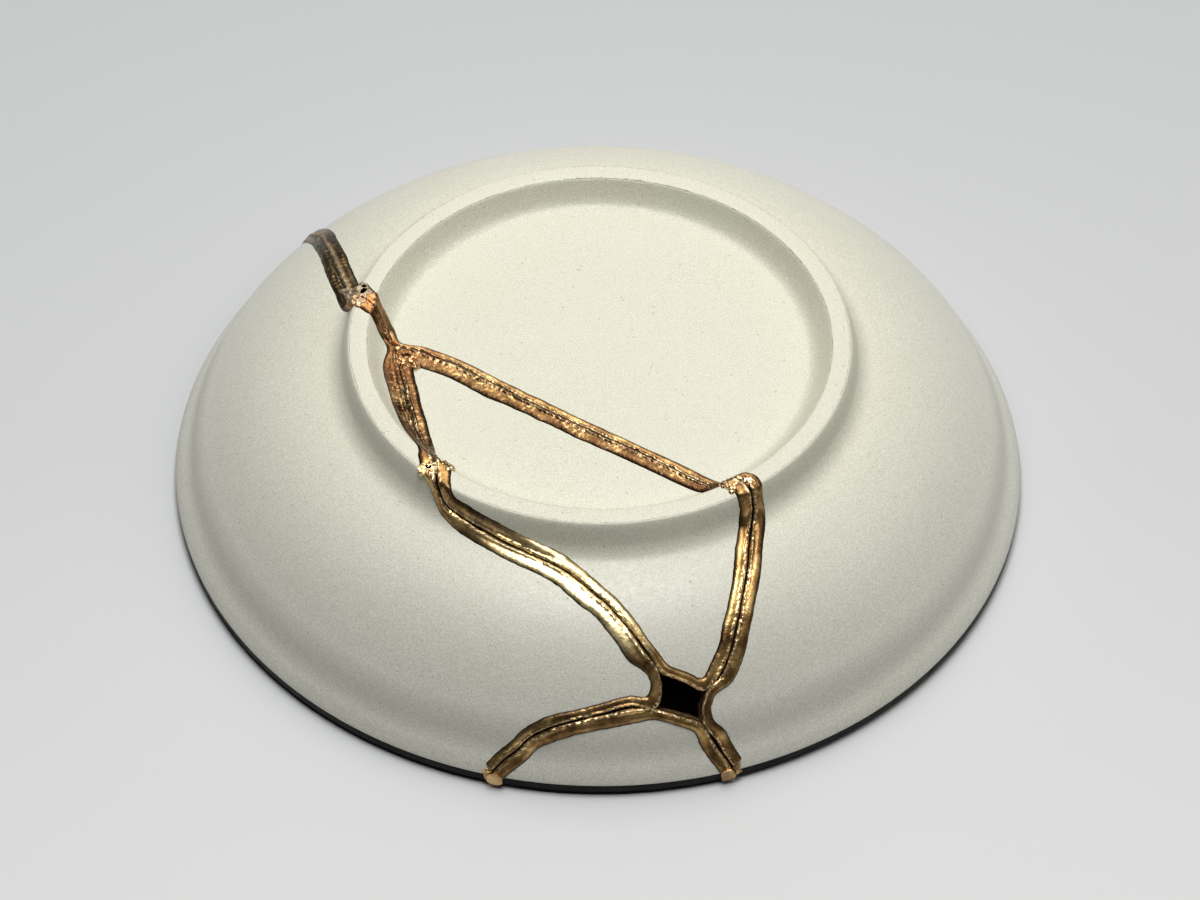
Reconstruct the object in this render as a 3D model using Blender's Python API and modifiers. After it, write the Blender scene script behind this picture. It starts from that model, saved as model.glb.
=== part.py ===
"""Plate mended with gold, standing upside down on its rim as it is shown.

Four stoneware shards meet at the cracks, and each shard has its own gold edging that wraps the broken edge,
the lip included.  The axis of the plate is Z and the floor is z = 0.  Sizes are in millimetres and are turned
into metres where points are made.
"""
import bisect
import math

import bmesh
import bpy
from mathutils import Vector
from mathutils.geometry import tessellate_polygon

MM = 0.001

# The plate
TURN_STEPS = 60
RIM_RADIUS = 110.0
FOOT_HEIGHT = 46.7
DISC_RADIUS = 51.8
DISC_DEPTH = 6.3
FOOT_SLOPE_RUN = 7.4
FOOT_WIDTH = 4.0
FOOT_CORNER = 0.7
ROOT_RUN = 7.5
ROOT_DROP = 9.0
SHOULDER_INSET = 10.4
SHOULDER_HEIGHT = 20.1
LIP_FLARE = 2.5
LIP_FALL = 3.7
LIP_EDGE_HEIGHT = 3.6
LIP_EDGE_ROUND = 0.1
COVE_RUN = 2.6
COVE_RISE = 4.5
REST_INSET = 1.1
REST_WIDTH = 2.3
FLOOR_THICKNESS = 5.6
WALL_THICKNESS = 4.2
LIP_HOLLOW_RUN = 4.0
LIP_HOLLOW_HEIGHT = 3.0

DISC_HEIGHT = FOOT_HEIGHT - DISC_DEPTH
FOOT_INNER_RADIUS = DISC_RADIUS + FOOT_SLOPE_RUN
FOOT_OUTER_RADIUS = FOOT_INNER_RADIUS + FOOT_WIDTH
FOOT_FLANK = (FOOT_OUTER_RADIUS + 0.36 * ROOT_RUN, FOOT_HEIGHT - 0.68 * ROOT_DROP, -56.0)
ROOT = (FOOT_OUTER_RADIUS + ROOT_RUN, FOOT_HEIGHT - ROOT_DROP, -12.0)
SHOULDER = (RIM_RADIUS - SHOULDER_INSET, SHOULDER_HEIGHT, -49.0)
WALL = (ROOT[0] + 0.6 * (SHOULDER[0] - ROOT[0]), ROOT[1] + 0.4 * (SHOULDER[1] - ROOT[1]), -34.0)
LIP_START = (RIM_RADIUS - LIP_FLARE, LIP_EDGE_HEIGHT + LIP_FALL, -49.0)
COVE = (LIP_START[0] - COVE_RUN, LIP_START[1] + COVE_RISE, -70.0)
REST_OUTER_RADIUS = RIM_RADIUS - REST_INSET
REST_INNER_RADIUS = REST_OUTER_RADIUS - REST_WIDTH

# Stations of the outer side: radius, height above the floor, slope in degrees
OUTER_STATIONS = (
    (0.0, DISC_HEIGHT, 0.0),
    (DISC_RADIUS, DISC_HEIGHT, 0.0),
    (DISC_RADIUS + 0.47 * FOOT_SLOPE_RUN, DISC_HEIGHT + 0.2 * DISC_DEPTH, 45.0),
    (FOOT_INNER_RADIUS - 1.25 * FOOT_CORNER, FOOT_HEIGHT - FOOT_CORNER, 58.0),
    (FOOT_INNER_RADIUS, FOOT_HEIGHT, 0.0),
    (FOOT_OUTER_RADIUS, FOOT_HEIGHT, 0.0),
    (FOOT_OUTER_RADIUS + FOOT_CORNER, FOOT_HEIGHT - 0.7 * FOOT_CORNER, -60.0),
    FOOT_FLANK,
    ROOT,
    WALL,
    SHOULDER,
    COVE,
    LIP_START,
    (RIM_RADIUS, LIP_EDGE_HEIGHT, -64.0),
)
# How many straight pieces stand for the curve between two stations of the outer side
OUTER_PIECES = (1, 1, 1, 1, 1, 1, 1, 2, 2, 3, 2, 2, 1)


def behind(station):
    """Station of the inner side, one wall thickness behind a station of the outer side."""
    radius, height, slope = station
    lean = math.radians(slope)
    return radius + math.sin(lean) * WALL_THICKNESS, height - math.cos(lean) * WALL_THICKNESS, slope


# Stations of the inner side
INNER_STATIONS = (
    (0.0, DISC_HEIGHT - FLOOR_THICKNESS, 0.0),
    ((FOOT_INNER_RADIUS + FOOT_OUTER_RADIUS) / 2, DISC_HEIGHT - FLOOR_THICKNESS, 0.0),
    behind(ROOT),
    behind(WALL),
    behind(SHOULDER),
    behind(COVE),
    (REST_INNER_RADIUS - LIP_HOLLOW_RUN, LIP_HOLLOW_HEIGHT, -48.0),
    (REST_INNER_RADIUS, 0.0, -30.0),
)
INNER_PIECES = (1, 1, 2, 1, 2, 1, 1)

# Outer radius and the inner radius straight behind it, through the wall
THROUGH_WALL = (
    (0.0, 0.0),
    (FOOT_FLANK[0], FOOT_FLANK[0] - 0.1 * WALL_THICKNESS),
    (ROOT[0], behind(ROOT)[0]),
    (WALL[0], behind(WALL)[0]),
    (SHOULDER[0], behind(SHOULDER)[0]),
    (COVE[0], behind(COVE)[0]),
    (REST_INNER_RADIUS - 0.17 * REST_WIDTH, REST_INNER_RADIUS - 0.78 * REST_WIDTH),
    (REST_INNER_RADIUS + 0.17 * REST_WIDTH, REST_INNER_RADIUS + 0.17 * REST_WIDTH),
    (RIM_RADIUS, RIM_RADIUS),
)

# Radii that the cracks are drawn for: axis, disc, foot ring inside and outside, root, shoulder, lip and rim
DRAWN_RADII = (0.0, 51.8, 59.2, 63.2, 70.7, 99.6, 107.5, 110.0)
# The same places on this plate
PLATE_RADII = (
    0.0,
    DISC_RADIUS,
    FOOT_INNER_RADIUS,
    FOOT_OUTER_RADIUS,
    ROOT[0],
    SHOULDER[0],
    LIP_START[0],
    RIM_RADIUS,
)

# The cracks, as plan points (x, y) on the outer side
FOOT_MEETING = (-52.1, 1.5)
FOOT_CROSSING = (36.0, -49.6)
HOLE_TOP_LEFT = (15.7, -92.9)
HOLE_TOP_RIGHT = (26.3, -94.9)
HOLE_LOW_RIGHT = (25.8, -98.7)
HOLE_LOW_LEFT = (15.0, -97.7)
REAR_CRACK = (
    (-83.2, 70.6),
    (-81.7, 69.3),
    (-79.8, 67.6),
    (-78.8, 66.1),
    (-76.4, 59.6),
    (-74.6, 54.0),
    (-72.4, 46.2),
    (-70.3, 38.2),
    (-68.2, 31.0),
    (-66.2, 24.6),
    (-63.9, 17.6),
    (-61.9, 14.5),
    (-59.6, 11.8),
    (-56.0, 7.9),
)
DISC_CRACK = (
    (-44.6, -0.9),
    (-37.1, -4.7),
    (-29.5, -9.6),
    (-21.9, -14.6),
    (-14.4, -19.5),
    (-6.9, -24.3),
    (-0.3, -28.3),
    (6.4, -32.3),
    (12.0, -35.8),
    (17.6, -39.3),
    (24.4, -43.9),
    (30.4, -46.9),
)
RIGHT_CRACK = (
    (37.9, -53.7),
    (37.0, -62.2),
    (36.2, -70.2),
    (34.7, -78.5),
    (32.8, -85.9),
    (30.2, -91.2),
)
LEFT_CRACK = (
    (-50.6, -6.4),
    (-48.9, -13.6),
    (-47.2, -21.6),
    (-45.4, -29.0),
    (-42.6, -36.8),
)
LEFT_NECK = (
    (-41.6, -40.2),
    (-40.4, -43.7),
    (-39.9, -46.6),
    (-39.5, -49.1),
    (-38.9, -51.8),
    (-37.4, -54.6),
)
LEFT_LOWER_CRACK = (
    (-32.8, -57.8),
    (-27.5, -61.2),
    (-21.8, -64.4),
    (-15.8, -67.5),
    (-9.5, -70.4),
    (-4.1, -73.7),
    (0.4, -77.2),
    (4.0, -80.8),
    (8.2, -85.2),
    (12.0, -88.9),
)
LOW_LEFT_CRACK = (
    (8.8, -99.0),
    (2.3, -100.3),
    (-5.0, -101.3),
    (-11.2, -102.0),
    (-16.0, -102.4),
    (-19.4, -102.9),
    (-21.3, -105.0),
    (-22.0, -106.9),
)
LOW_RIGHT_CRACK = (
    (28.8, -101.0),
    (30.8, -102.9),
    (31.8, -104.5),
)

# Width of the gold collar along each crack
REAR_WIDTH = 3.3
DISC_WIDTH = 2.7
RIGHT_WIDTH = 3.3
LEFT_WIDTH = 3.2
NECK_WIDTH = 2.4
LOW_WIDTH = 3.2
HOLE_WIDTH = 2.8
MEETING_WIDTH = 2.2

# The gold edging in section
GAP = 0.3
CROWN = 0.72
CROWN_FALL = 0.84
CROWN_START = 0.32
CROWN_END = 0.74
EDGE_LIFT = 0.28
SUNK = 0.35
WEB = 0.95
INNER_WIDTH = 1.7
INNER_LIFT = 0.25
BED_CLEAR = 1.5
BED_PAST = 3.0
BED_WEB_ROOM = 0.9
BED_INNER_ROOM = 0.65
LOWEST_GOLD = 0.2
LONGEST_STEP = 8.6
SHORTEST_STEP = 1.8
BREAK_RADII = (
    DISC_RADIUS + 0.1 * FOOT_SLOPE_RUN,
    DISC_RADIUS + 0.47 * FOOT_SLOPE_RUN,
    FOOT_INNER_RADIUS - FOOT_CORNER,
    FOOT_OUTER_RADIUS + 0.4 * FOOT_CORNER,
    FOOT_OUTER_RADIUS + 0.2 * ROOT_RUN,
    FOOT_OUTER_RADIUS + 0.4 * ROOT_RUN,
    ROOT[0],
    REST_INNER_RADIUS - 0.6 * REST_WIDTH,
)
SHARPEST_MITRE = 0.34

# The lobes of gold that wrap the lip
LOBE_PROUD = 0.9
LOBE_BACK = 1.0
LOBE_LOW = LOWEST_GOLD
LOBE_OVER = 1.7
LOBE_ROUND = 0.7

# The cutters that part the shards
REGION_LIFT = 0.8
REGION_PAST = 24.0
REGION_TOP = FOOT_HEIGHT + REGION_PAST
REGION_LOW = -REGION_PAST
REGION_RADIUS = RIM_RADIUS + REGION_PAST
REGION_RUN = 9.0
REGION_ARC_STEP = math.radians(10.0)
LEVELS = 6
ARC_STEP = 0.2


def curve_height(stations, radius):
    """Height and slope at a radius of the smooth curve through the stations."""
    place = bisect.bisect_right([station[0] for station in stations], radius) - 1
    place = min(max(place, 0), len(stations) - 2)
    start_radius, start_height, start_slope = stations[place]
    end_radius, end_height, end_slope = stations[place + 1]
    length = end_radius - start_radius
    t = min(max((radius - start_radius) / length, 0.0), 1.0)
    start_rise = math.tan(math.radians(start_slope)) * length
    end_rise = math.tan(math.radians(end_slope)) * length
    height = (
        (2 * t**3 - 3 * t**2 + 1) * start_height
        + (t**3 - 2 * t**2 + t) * start_rise
        + (3 * t**2 - 2 * t**3) * end_height
        + (t**3 - t**2) * end_rise
    )
    slope = (
        (6 * t**2 - 6 * t) * (start_height - end_height)
        + (3 * t**2 - 4 * t + 1) * start_rise
        + (3 * t**2 - 2 * t) * end_rise
    ) / length
    return height, slope


def profile_points(stations, pieces):
    """Points of a side of the profile, from the axis out."""
    points = [(stations[0][0], stations[0][1])]
    for start, end, count in zip(stations, stations[1:], pieces):
        for step in range(1, count + 1):
            radius = start[0] + (end[0] - start[0]) * step / count
            points.append((radius, curve_height(stations, radius)[0]))
    return points


def arc_table():
    """Radii of the outer side with the distance along it from the axis."""
    radii = [step * ARC_STEP for step in range(int(round(RIM_RADIUS / ARC_STEP)) + 1)]
    heights = [curve_height(OUTER_STATIONS, radius)[0] for radius in radii]
    lengths = [0.0]
    for index in range(1, len(radii)):
        lengths.append(lengths[-1] + math.hypot(ARC_STEP, heights[index] - heights[index - 1]))
    return radii, lengths


ARC_RADII, ARC_LENGTHS = arc_table()


def between(xs, ys, x):
    """Straight-line reading of a table, carried on past its end."""
    place = min(max(bisect.bisect_right(xs, x) - 1, 0), len(xs) - 2)
    share = (x - xs[place]) / (xs[place + 1] - xs[place])
    return ys[place] + (ys[place + 1] - ys[place]) * share


def outer_place(radius, lift):
    """Radius and height of a point lifted off the outer side."""
    height, slope = curve_height(OUTER_STATIONS, radius)
    past = max(radius - RIM_RADIUS, 0.0)
    height += past * slope
    size = math.hypot(1.0, slope)
    return radius - slope / size * lift, height + lift / size


def inner_place(radius, lift):
    """Radius and height of a point lifted off the inner side, behind an outer radius."""
    inner_radius = between([pair[0] for pair in THROUGH_WALL], [pair[1] for pair in THROUGH_WALL], radius)
    height, slope = curve_height(INNER_STATIONS, inner_radius)
    size = math.hypot(1.0, slope)
    return inner_radius + slope / size * lift, height - lift / size


def wall_point(along, turn, inside, lift):
    """Point in metres at a distance along the outer side and an angle round the axis."""
    radius = between(ARC_LENGTHS, ARC_RADII, along)
    place = inner_place(radius, lift) if inside else outer_place(radius, lift)
    return Vector((place[0] * math.cos(turn), place[0] * math.sin(turn), place[1])) * MM


def plan_point(x, y):
    """Distance along the outer side and angle round the axis of a plan point."""
    return between(ARC_RADII, ARC_LENGTHS, math.hypot(x, y)), math.atan2(y, x)


def spaced(points, closed):
    """Route of (x, y, width) with points added on long stretches and where the profile bends."""
    route = []
    pairs = list(zip(points, points[1:] + points[:1])) if closed else list(zip(points, points[1:]))
    for start, end in pairs:
        shares = {0.0}
        start_space = wall_point(*plan_point(start[0], start[1]), False, 0.0)
        end_space = wall_point(*plan_point(end[0], end[1]), False, 0.0)
        count = int((end_space - start_space).length / MM / LONGEST_STEP) + 1
        shares.update(step / count for step in range(1, count))
        start_radius = math.hypot(start[0], start[1])
        end_radius = math.hypot(end[0], end[1])
        for radius in BREAK_RADII:
            if (start_radius - radius) * (end_radius - radius) < 0.0:
                shares.add(crossing_share(start, end, radius))
        kept = []
        for share in sorted(shares):
            x = start[0] + (end[0] - start[0]) * share
            y = start[1] + (end[1] - start[1]) * share
            space = wall_point(*plan_point(x, y), False, 0.0)
            near_start = kept and (space - kept[-1][1]).length < SHORTEST_STEP * MM
            near_end = (space - end_space).length < SHORTEST_STEP * MM
            if share > 0.0 and (near_start or near_end):
                continue
            kept.append(((x, y, start[2] + (end[2] - start[2]) * share), space))
        route.extend(item[0] for item in kept)
    if not closed:
        route.append(points[-1])
    return route


def crossing_share(start, end, radius):
    """Share of the way from start to end at which the distance from the axis is the radius."""
    low, high = 0.0, 1.0
    rising = math.hypot(end[0], end[1]) > math.hypot(start[0], start[1])
    for _ in range(30):
        middle = (low + high) / 2
        x = start[0] + (end[0] - start[0]) * middle
        y = start[1] + (end[1] - start[1]) * middle
        if (math.hypot(x, y) < radius) == rising:
            low = middle
        else:
            high = middle
    return (low + high) / 2


def stations_along(route, closed, side):
    """For each route point: distance along the profile, angle, width and the mitred step to the shard's side."""
    places = [plan_point(x, y) for x, y, _ in route]
    spaces = [wall_point(along, turn, False, 0.0) for along, turn in places]
    result = []
    last = len(route) - 1
    for index, (along, turn) in enumerate(places):
        radius = math.hypot(route[index][0], route[index][1])
        slope = curve_height(OUTER_STATIONS, radius)[1]
        size = math.hypot(1.0, slope)
        outward = Vector((math.cos(turn) / size, math.sin(turn) / size, slope / size))
        around = Vector((-math.sin(turn), math.cos(turn), 0.0))
        turns = []
        if closed or index > 0:
            turns.append(spaces[index] - spaces[index - 1])
        if closed or index < last:
            turns.append(spaces[(index + 1) % len(spaces)] - spaces[index])
        normals = []
        for step in turns:
            flat = Vector((step.dot(outward), step.dot(around))).normalized()
            normals.append(Vector((-flat.y, flat.x)) * side)
        if len(normals) == 1:
            mitre = normals[0]
        else:
            mitre = (normals[0] + normals[1]) / max(1.0 + normals[0].dot(normals[1]), SHARPEST_MITRE)
        result.append((along, turn, radius, route[index][2], mitre))
    return result


def gold_section(width):
    """Section of the gold edging: inside or outside of the plate, distance from the crack, lift."""
    half_gap = GAP / 2
    return (
        (False, half_gap, EDGE_LIFT),
        (False, half_gap + CROWN_START * width, CROWN),
        (False, half_gap + CROWN_END * width, CROWN * CROWN_FALL),
        (False, half_gap + width, -SUNK),
        (False, WEB, -SUNK),
        (True, INNER_WIDTH, INNER_LIFT),
        (True, half_gap, INNER_LIFT),
    )


def bed_section(width):
    """Section of the cutter that makes room for the gold edging and a gap round it."""
    reach = GAP / 2 + width + GAP
    depth = -SUNK - GAP
    return (
        (False, -BED_PAST, BED_CLEAR),
        (False, CROWN_START * width, BED_CLEAR),
        (False, CROWN_END * width, BED_CLEAR),
        (False, reach, BED_CLEAR),
        (False, reach, depth),
        (False, WEB + BED_WEB_ROOM, depth),
        (True, INNER_WIDTH + BED_INNER_ROOM, BED_CLEAR),
        (True, -BED_PAST, BED_CLEAR),
    )


def outer_points(section):
    """How many points of a section lie on the outer side of the plate."""
    return sum(1 for inside, _, _ in section if not inside)


def section_ring(station, section, lowest):
    """Points in metres of a section set at a station of a route, none below the lowest height."""
    along, turn, radius, _, mitre = station
    ring = []
    for inside, distance, lift in section:
        step = mitre * distance
        point = wall_point(along + step.x, turn + step.y / radius, inside, lift)
        point.z = max(point.z, lowest * MM)
        ring.append(point)
    return ring


def lofted(name, rings, outer_count, closed, collection, smooth):
    """Closed solid through rings of equal length, which begin with their points on the outer side."""
    mesh = bpy.data.meshes.new(name)
    bm = bmesh.new()
    rows = [[bm.verts.new(point) for point in ring] for ring in rings]
    spans = len(rows) if closed else len(rows) - 1
    for index in range(spans):
        near = rows[index]
        far = rows[(index + 1) % len(rows)]
        for corner in range(len(near)):
            following = (corner + 1) % len(near)
            bm.faces.new((near[corner], near[following], far[following], far[corner]))
    if not closed:
        first, last = rows[0], rows[-1]
        bm.faces.new(first[:outer_count][::-1])
        bm.faces.new(first[:0:-1][: len(first) - outer_count + 1] + first[:1])
        bm.faces.new(last[:outer_count])
        bm.faces.new(last[:1] + last[outer_count - 1 :])
    for face in bm.faces:
        face.smooth = smooth
    return finished(name, bm, mesh, collection)


def finished(name, bm, mesh, collection):
    """Object from a closed mesh, with its faces turned outward."""
    bmesh.ops.triangulate(bm, faces=bm.faces[:], quad_method="FIXED")
    if bm.calc_volume(signed=True) < 0.0:
        bmesh.ops.reverse_faces(bm, faces=bm.faces[:])
    bm.to_mesh(mesh)
    bm.free()
    made = bpy.data.objects.new(name, mesh)
    collection.objects.link(made)
    return made


def flat_triangles(points, forward):
    """Triangles of a flat outline, wound the way the outline runs or against it."""
    outline = [Vector((point.x / MM, point.y / MM, 0.0)) for point in points]
    area = sum(a.x * b.y - b.x * a.y for a, b in zip(outline, outline[1:] + outline[:1]))
    triangles = []
    for first, second, third in tessellate_polygon([outline]):
        span = (outline[second] - outline[first]).cross(outline[third] - outline[first]).z
        if (span * area > 0.0) != forward:
            first, third = third, first
        triangles.append((first, second, third))
    return triangles


def heading(end, before):
    """Plan point of the end of a crack and the level direction in which the crack leaves the plate there."""
    tip = wall_point(end[0], end[1], False, 0.0) / MM
    root = wall_point(before[0], before[1], False, 0.0) / MM
    tip.z = 0.0
    root.z = 0.0
    return tip, (tip - root).normalized()


def region(name, stations, closed, sweep_side):
    """Cutter that covers one shard: walls through the cracks, flat top and bottom, a wide arc past the rim."""
    columns = []
    for along, turn, _, _, _ in stations:
        high = wall_point(along, turn, False, REGION_LIFT)
        low = wall_point(along, turn, True, REGION_LIFT)
        top = Vector((high.x, high.y, REGION_TOP * MM))
        bottom = Vector((low.x, low.y, REGION_LOW * MM))
        outside = wall_point(along, turn, False, 0.0)
        inside = wall_point(along, turn, True, 0.0)
        columns.append((top, high, outside, inside, low, bottom))
    if not closed:
        drop = (REGION_TOP - REGION_LOW) / (LEVELS - 1)
        levels = [REGION_TOP - drop * level for level in range(LEVELS)]
        last_tip, last_way = heading(stations[-1], stations[-2])
        first_tip, first_way = heading(stations[0], stations[1])
        leaving = last_tip + last_way * REGION_RUN
        returning = first_tip + first_way * REGION_RUN
        start_turn = math.atan2(leaving.y, leaving.x)
        sweep = (math.atan2(returning.y, returning.x) - start_turn) * sweep_side % (2 * math.pi) * sweep_side
        steps = max(int(abs(sweep) / REGION_ARC_STEP), 2)
        edge = [(leaving.x, leaving.y)]
        for step in range(steps + 1):
            turn = start_turn + sweep * step / steps
            edge.append((REGION_RADIUS * math.cos(turn), REGION_RADIUS * math.sin(turn)))
        edge.append((returning.x, returning.y))
        for x, y in edge:
            columns.append(tuple(Vector((x, y, level)) * MM for level in levels))
    mesh = bpy.data.meshes.new(name)
    bm = bmesh.new()
    rows = [[bm.verts.new(point) for point in column] for column in columns]
    for index, near in enumerate(rows):
        far = rows[(index + 1) % len(rows)]
        for level in range(LEVELS - 1):
            bm.faces.new((near[level], near[level + 1], far[level + 1], far[level]))
    for level in (0, LEVELS - 1):
        for corners in flat_triangles([column[level] for column in columns], level == 0):
            bm.faces.new([rows[corner][level] for corner in corners])
    return finished(name, bm, mesh, cutters)


def lobe(name, end, before, side, growth):
    """Rounded block of gold over the lip, on one side of the end of a crack and in line with it."""
    tip, ahead = heading(end, before)
    reach = (RIM_RADIUS + LOBE_PROUD - tip.length) / ahead.dot(tip.normalized())
    back = LOBE_BACK + growth
    front = reach + growth
    near = GAP / 2 - growth
    far = GAP / 2 + end[3] + growth
    low = LOBE_LOW - growth
    high = LIP_EDGE_HEIGHT + LOBE_OVER + growth
    mesh = bpy.data.meshes.new(name)
    bm = bmesh.new()
    bmesh.ops.create_cube(bm, size=1.0)
    for vertex in bm.verts:
        vertex.co.x = (vertex.co.x * (front + back) + (front - back) / 2) * MM
        vertex.co.y = (vertex.co.y * (far - near) + (far + near) / 2 * side) * MM
        vertex.co.z = (vertex.co.z * (high - low) + (high + low) / 2) * MM
    for face in bm.faces:
        face.smooth = True
    bm.to_mesh(mesh)
    bm.free()
    made = bpy.data.objects.new(name, mesh)
    cutters.objects.link(made)
    made.location = (tip.x * MM, tip.y * MM, 0.0)
    made.rotation_euler.z = math.atan2(ahead.y, ahead.x)
    if growth == 0.0:
        rounding = made.modifiers.new("rounding", "BEVEL")
        rounding.width = LOBE_ROUND * MM
        rounding.segments = 2
        rounding.limit_method = "NONE"
    return made


def turned_plate(name):
    """The whole plate, turned about Z from its closed profile."""
    outer = profile_points(OUTER_STATIONS, OUTER_PIECES)
    inner = profile_points(INNER_STATIONS, INNER_PIECES)
    lip = [(RIM_RADIUS - LIP_EDGE_ROUND, LIP_EDGE_HEIGHT / 3), (REST_OUTER_RADIUS, 0.0)]
    points = outer + lip + list(reversed(inner))
    mesh = bpy.data.meshes.new(name)
    bm = bmesh.new()
    row = [bm.verts.new((radius * MM, 0.0, height * MM)) for radius, height in points]
    for first, second in zip(row, row[1:]):
        bm.edges.new((first, second))
    bm.to_mesh(mesh)
    bm.free()
    made = bpy.data.objects.new(name, mesh)
    part.objects.link(made)
    turn = made.modifiers.new("turn", "SCREW")
    turn.axis = "Z"
    turn.angle = 2 * math.pi
    turn.steps = TURN_STEPS
    turn.render_steps = TURN_STEPS
    turn.use_merge_vertices = True
    turn.merge_threshold = 0.00001
    turn.use_smooth_shade = True
    return made


def boolean(target, cutter, operation):
    """Boolean of the target with a cutter."""
    made = target.modifiers.new(cutter.name, "BOOLEAN")
    made.operation = operation
    made.solver = "EXACT"
    made.object = cutter


def surface_colour(name, colour, roughness, metallic):
    """Plain material."""
    made = bpy.data.materials.new(name)
    made.use_nodes = True
    shader = made.node_tree.nodes["Principled BSDF"]
    shader.inputs["Base Color"].default_value = (*colour, 1.0)
    shader.inputs["Roughness"].default_value = roughness
    shader.inputs["Metallic"].default_value = metallic
    made.diffuse_color = (*colour, 1.0)
    return made


def with_width(points, width):
    """Plan points moved to where this plate has the drawn radii, with a collar width."""
    placed = []
    for x, y in points:
        drawn = math.hypot(x, y)
        size = between(DRAWN_RADII, PLATE_RADII, drawn) / drawn
        placed.append((x * size, y * size, width))
    return placed


def shard(name, route, closed, side):
    """One shard with its gold edging."""
    stations = stations_along(spaced(route, closed), closed, side)
    stoneware = turned_plate(name + "_shard")
    stoneware.data.materials.append(stone_colour)
    gold_rings = [section_ring(station, gold_section(station[3]), LOWEST_GOLD) for station in stations]
    bed_rings = [section_ring(station, bed_section(station[3]), REGION_LOW) for station in stations]
    gold_count = outer_points(gold_section(0.0))
    bed_count = outer_points(bed_section(0.0))
    gold = lofted(name + "_gold_edge", gold_rings, gold_count, closed, part, True)
    gold.data.materials.append(gold_colour)
    bed = lofted(name + "_bed", bed_rings, bed_count, closed, cutters, False)
    cover = region(name + "_region", stations, closed, side)
    boolean(stoneware, cover, "INTERSECT")
    boolean(stoneware, bed, "DIFFERENCE")
    if not closed:
        ends = (("first", stations[0], stations[1], -side), ("last", stations[-1], stations[-2], side))
        for word, end, before, lobe_side in ends:
            label = f"{name}_{word}_lobe"
            boolean(gold, lobe(label, end, before, lobe_side, 0.0), "UNION")
            boolean(stoneware, lobe(label + "_bed", end, before, lobe_side, GAP), "DIFFERENCE")
    return stoneware, gold


for old in list(bpy.data.objects):
    bpy.data.objects.remove(old)
part = bpy.data.collections.new("kintsugi_plate")
cutters = bpy.data.collections.new("cutters")
bpy.context.scene.collection.children.link(part)
bpy.context.scene.collection.children.link(cutters)

stone_colour = surface_colour("cream stoneware", (0.72, 0.70, 0.60), 0.62, 0.0)
gold_colour = surface_colour("gold", (0.72, 0.47, 0.18), 0.28, 1.0)

meeting = with_width([FOOT_MEETING], MEETING_WIDTH)
crossing = with_width([FOOT_CROSSING], DISC_WIDTH)
top_left = with_width([HOLE_TOP_LEFT], HOLE_WIDTH)
top_right = with_width([HOLE_TOP_RIGHT], HOLE_WIDTH)
low_right = with_width([HOLE_LOW_RIGHT], HOLE_WIDTH)
low_left = with_width([HOLE_LOW_LEFT], HOLE_WIDTH)
rear = with_width(REAR_CRACK, REAR_WIDTH)
disc = with_width(DISC_CRACK, DISC_WIDTH)
right = with_width(RIGHT_CRACK, RIGHT_WIDTH)
left = (
    with_width(LEFT_CRACK, LEFT_WIDTH)
    + with_width(LEFT_NECK, NECK_WIDTH)
    + with_width(LEFT_LOWER_CRACK, LEFT_WIDTH)
)
low_left_crack = with_width(LOW_LEFT_CRACK, LOW_WIDTH)
low_right_crack = with_width(LOW_RIGHT_CRACK, LOW_WIDTH)

shard(
    "main",
    rear + meeting + disc + crossing + right + top_right + low_right + low_right_crack,
    False,
    1.0,
)
shard(
    "left",
    rear + meeting + left + top_left + low_left + low_left_crack,
    False,
    -1.0,
)
shard(
    "middle",
    meeting + disc + crossing + right + top_right + top_left + left[::-1],
    True,
    -1.0,
)
shard(
    "rim",
    low_left_crack[::-1] + low_left + low_right + low_right_crack,
    False,
    -1.0,
)

for cutter in cutters.objects:
    cutter.hide_render = True
    cutter.display_type = "WIRE"
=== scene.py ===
"""Visual model of the plate mended with gold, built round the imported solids.

The stoneware shards are turned finely and cut along the cracks.  The gold edgings are lofts with the lumps,
beads and wavy borders of the real seams.  Sizes are in millimetres and become metres where points are made.
"""
import bisect
import math

import bmesh
import bpy
from mathutils import Matrix, Vector, noise
from mathutils.geometry import tessellate_polygon


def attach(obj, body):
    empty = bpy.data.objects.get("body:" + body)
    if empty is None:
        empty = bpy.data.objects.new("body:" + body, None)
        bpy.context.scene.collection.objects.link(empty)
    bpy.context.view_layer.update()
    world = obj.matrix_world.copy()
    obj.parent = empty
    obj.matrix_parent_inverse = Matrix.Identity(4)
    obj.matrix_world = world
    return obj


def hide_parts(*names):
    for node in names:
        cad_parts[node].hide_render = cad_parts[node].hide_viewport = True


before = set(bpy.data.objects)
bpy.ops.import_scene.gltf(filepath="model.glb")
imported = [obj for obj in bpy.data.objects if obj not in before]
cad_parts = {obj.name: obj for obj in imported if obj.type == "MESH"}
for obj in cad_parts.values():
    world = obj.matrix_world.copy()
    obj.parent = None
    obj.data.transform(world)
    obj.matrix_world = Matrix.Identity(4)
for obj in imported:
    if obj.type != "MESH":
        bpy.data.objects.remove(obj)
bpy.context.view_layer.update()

MM = 0.001

# The plate, as in the solids
RIM_RADIUS = 110.0
FOOT_HEIGHT = 46.7
DISC_RADIUS = 51.8
DISC_DEPTH = 6.3
FOOT_SLOPE_RUN = 7.4
FOOT_WIDTH = 4.0
FOOT_CORNER = 0.7
ROOT_RUN = 7.5
ROOT_DROP = 9.0
SHOULDER_INSET = 10.4
SHOULDER_HEIGHT = 20.1
LIP_FLARE = 2.5
LIP_FALL = 3.7
LIP_EDGE_HEIGHT = 3.6
COVE_RUN = 2.6
COVE_RISE = 4.5
REST_INSET = 1.1
REST_WIDTH = 2.3
FLOOR_THICKNESS = 5.6
WALL_THICKNESS = 4.2
LIP_HOLLOW_RUN = 4.0
LIP_HOLLOW_HEIGHT = 3.0
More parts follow.
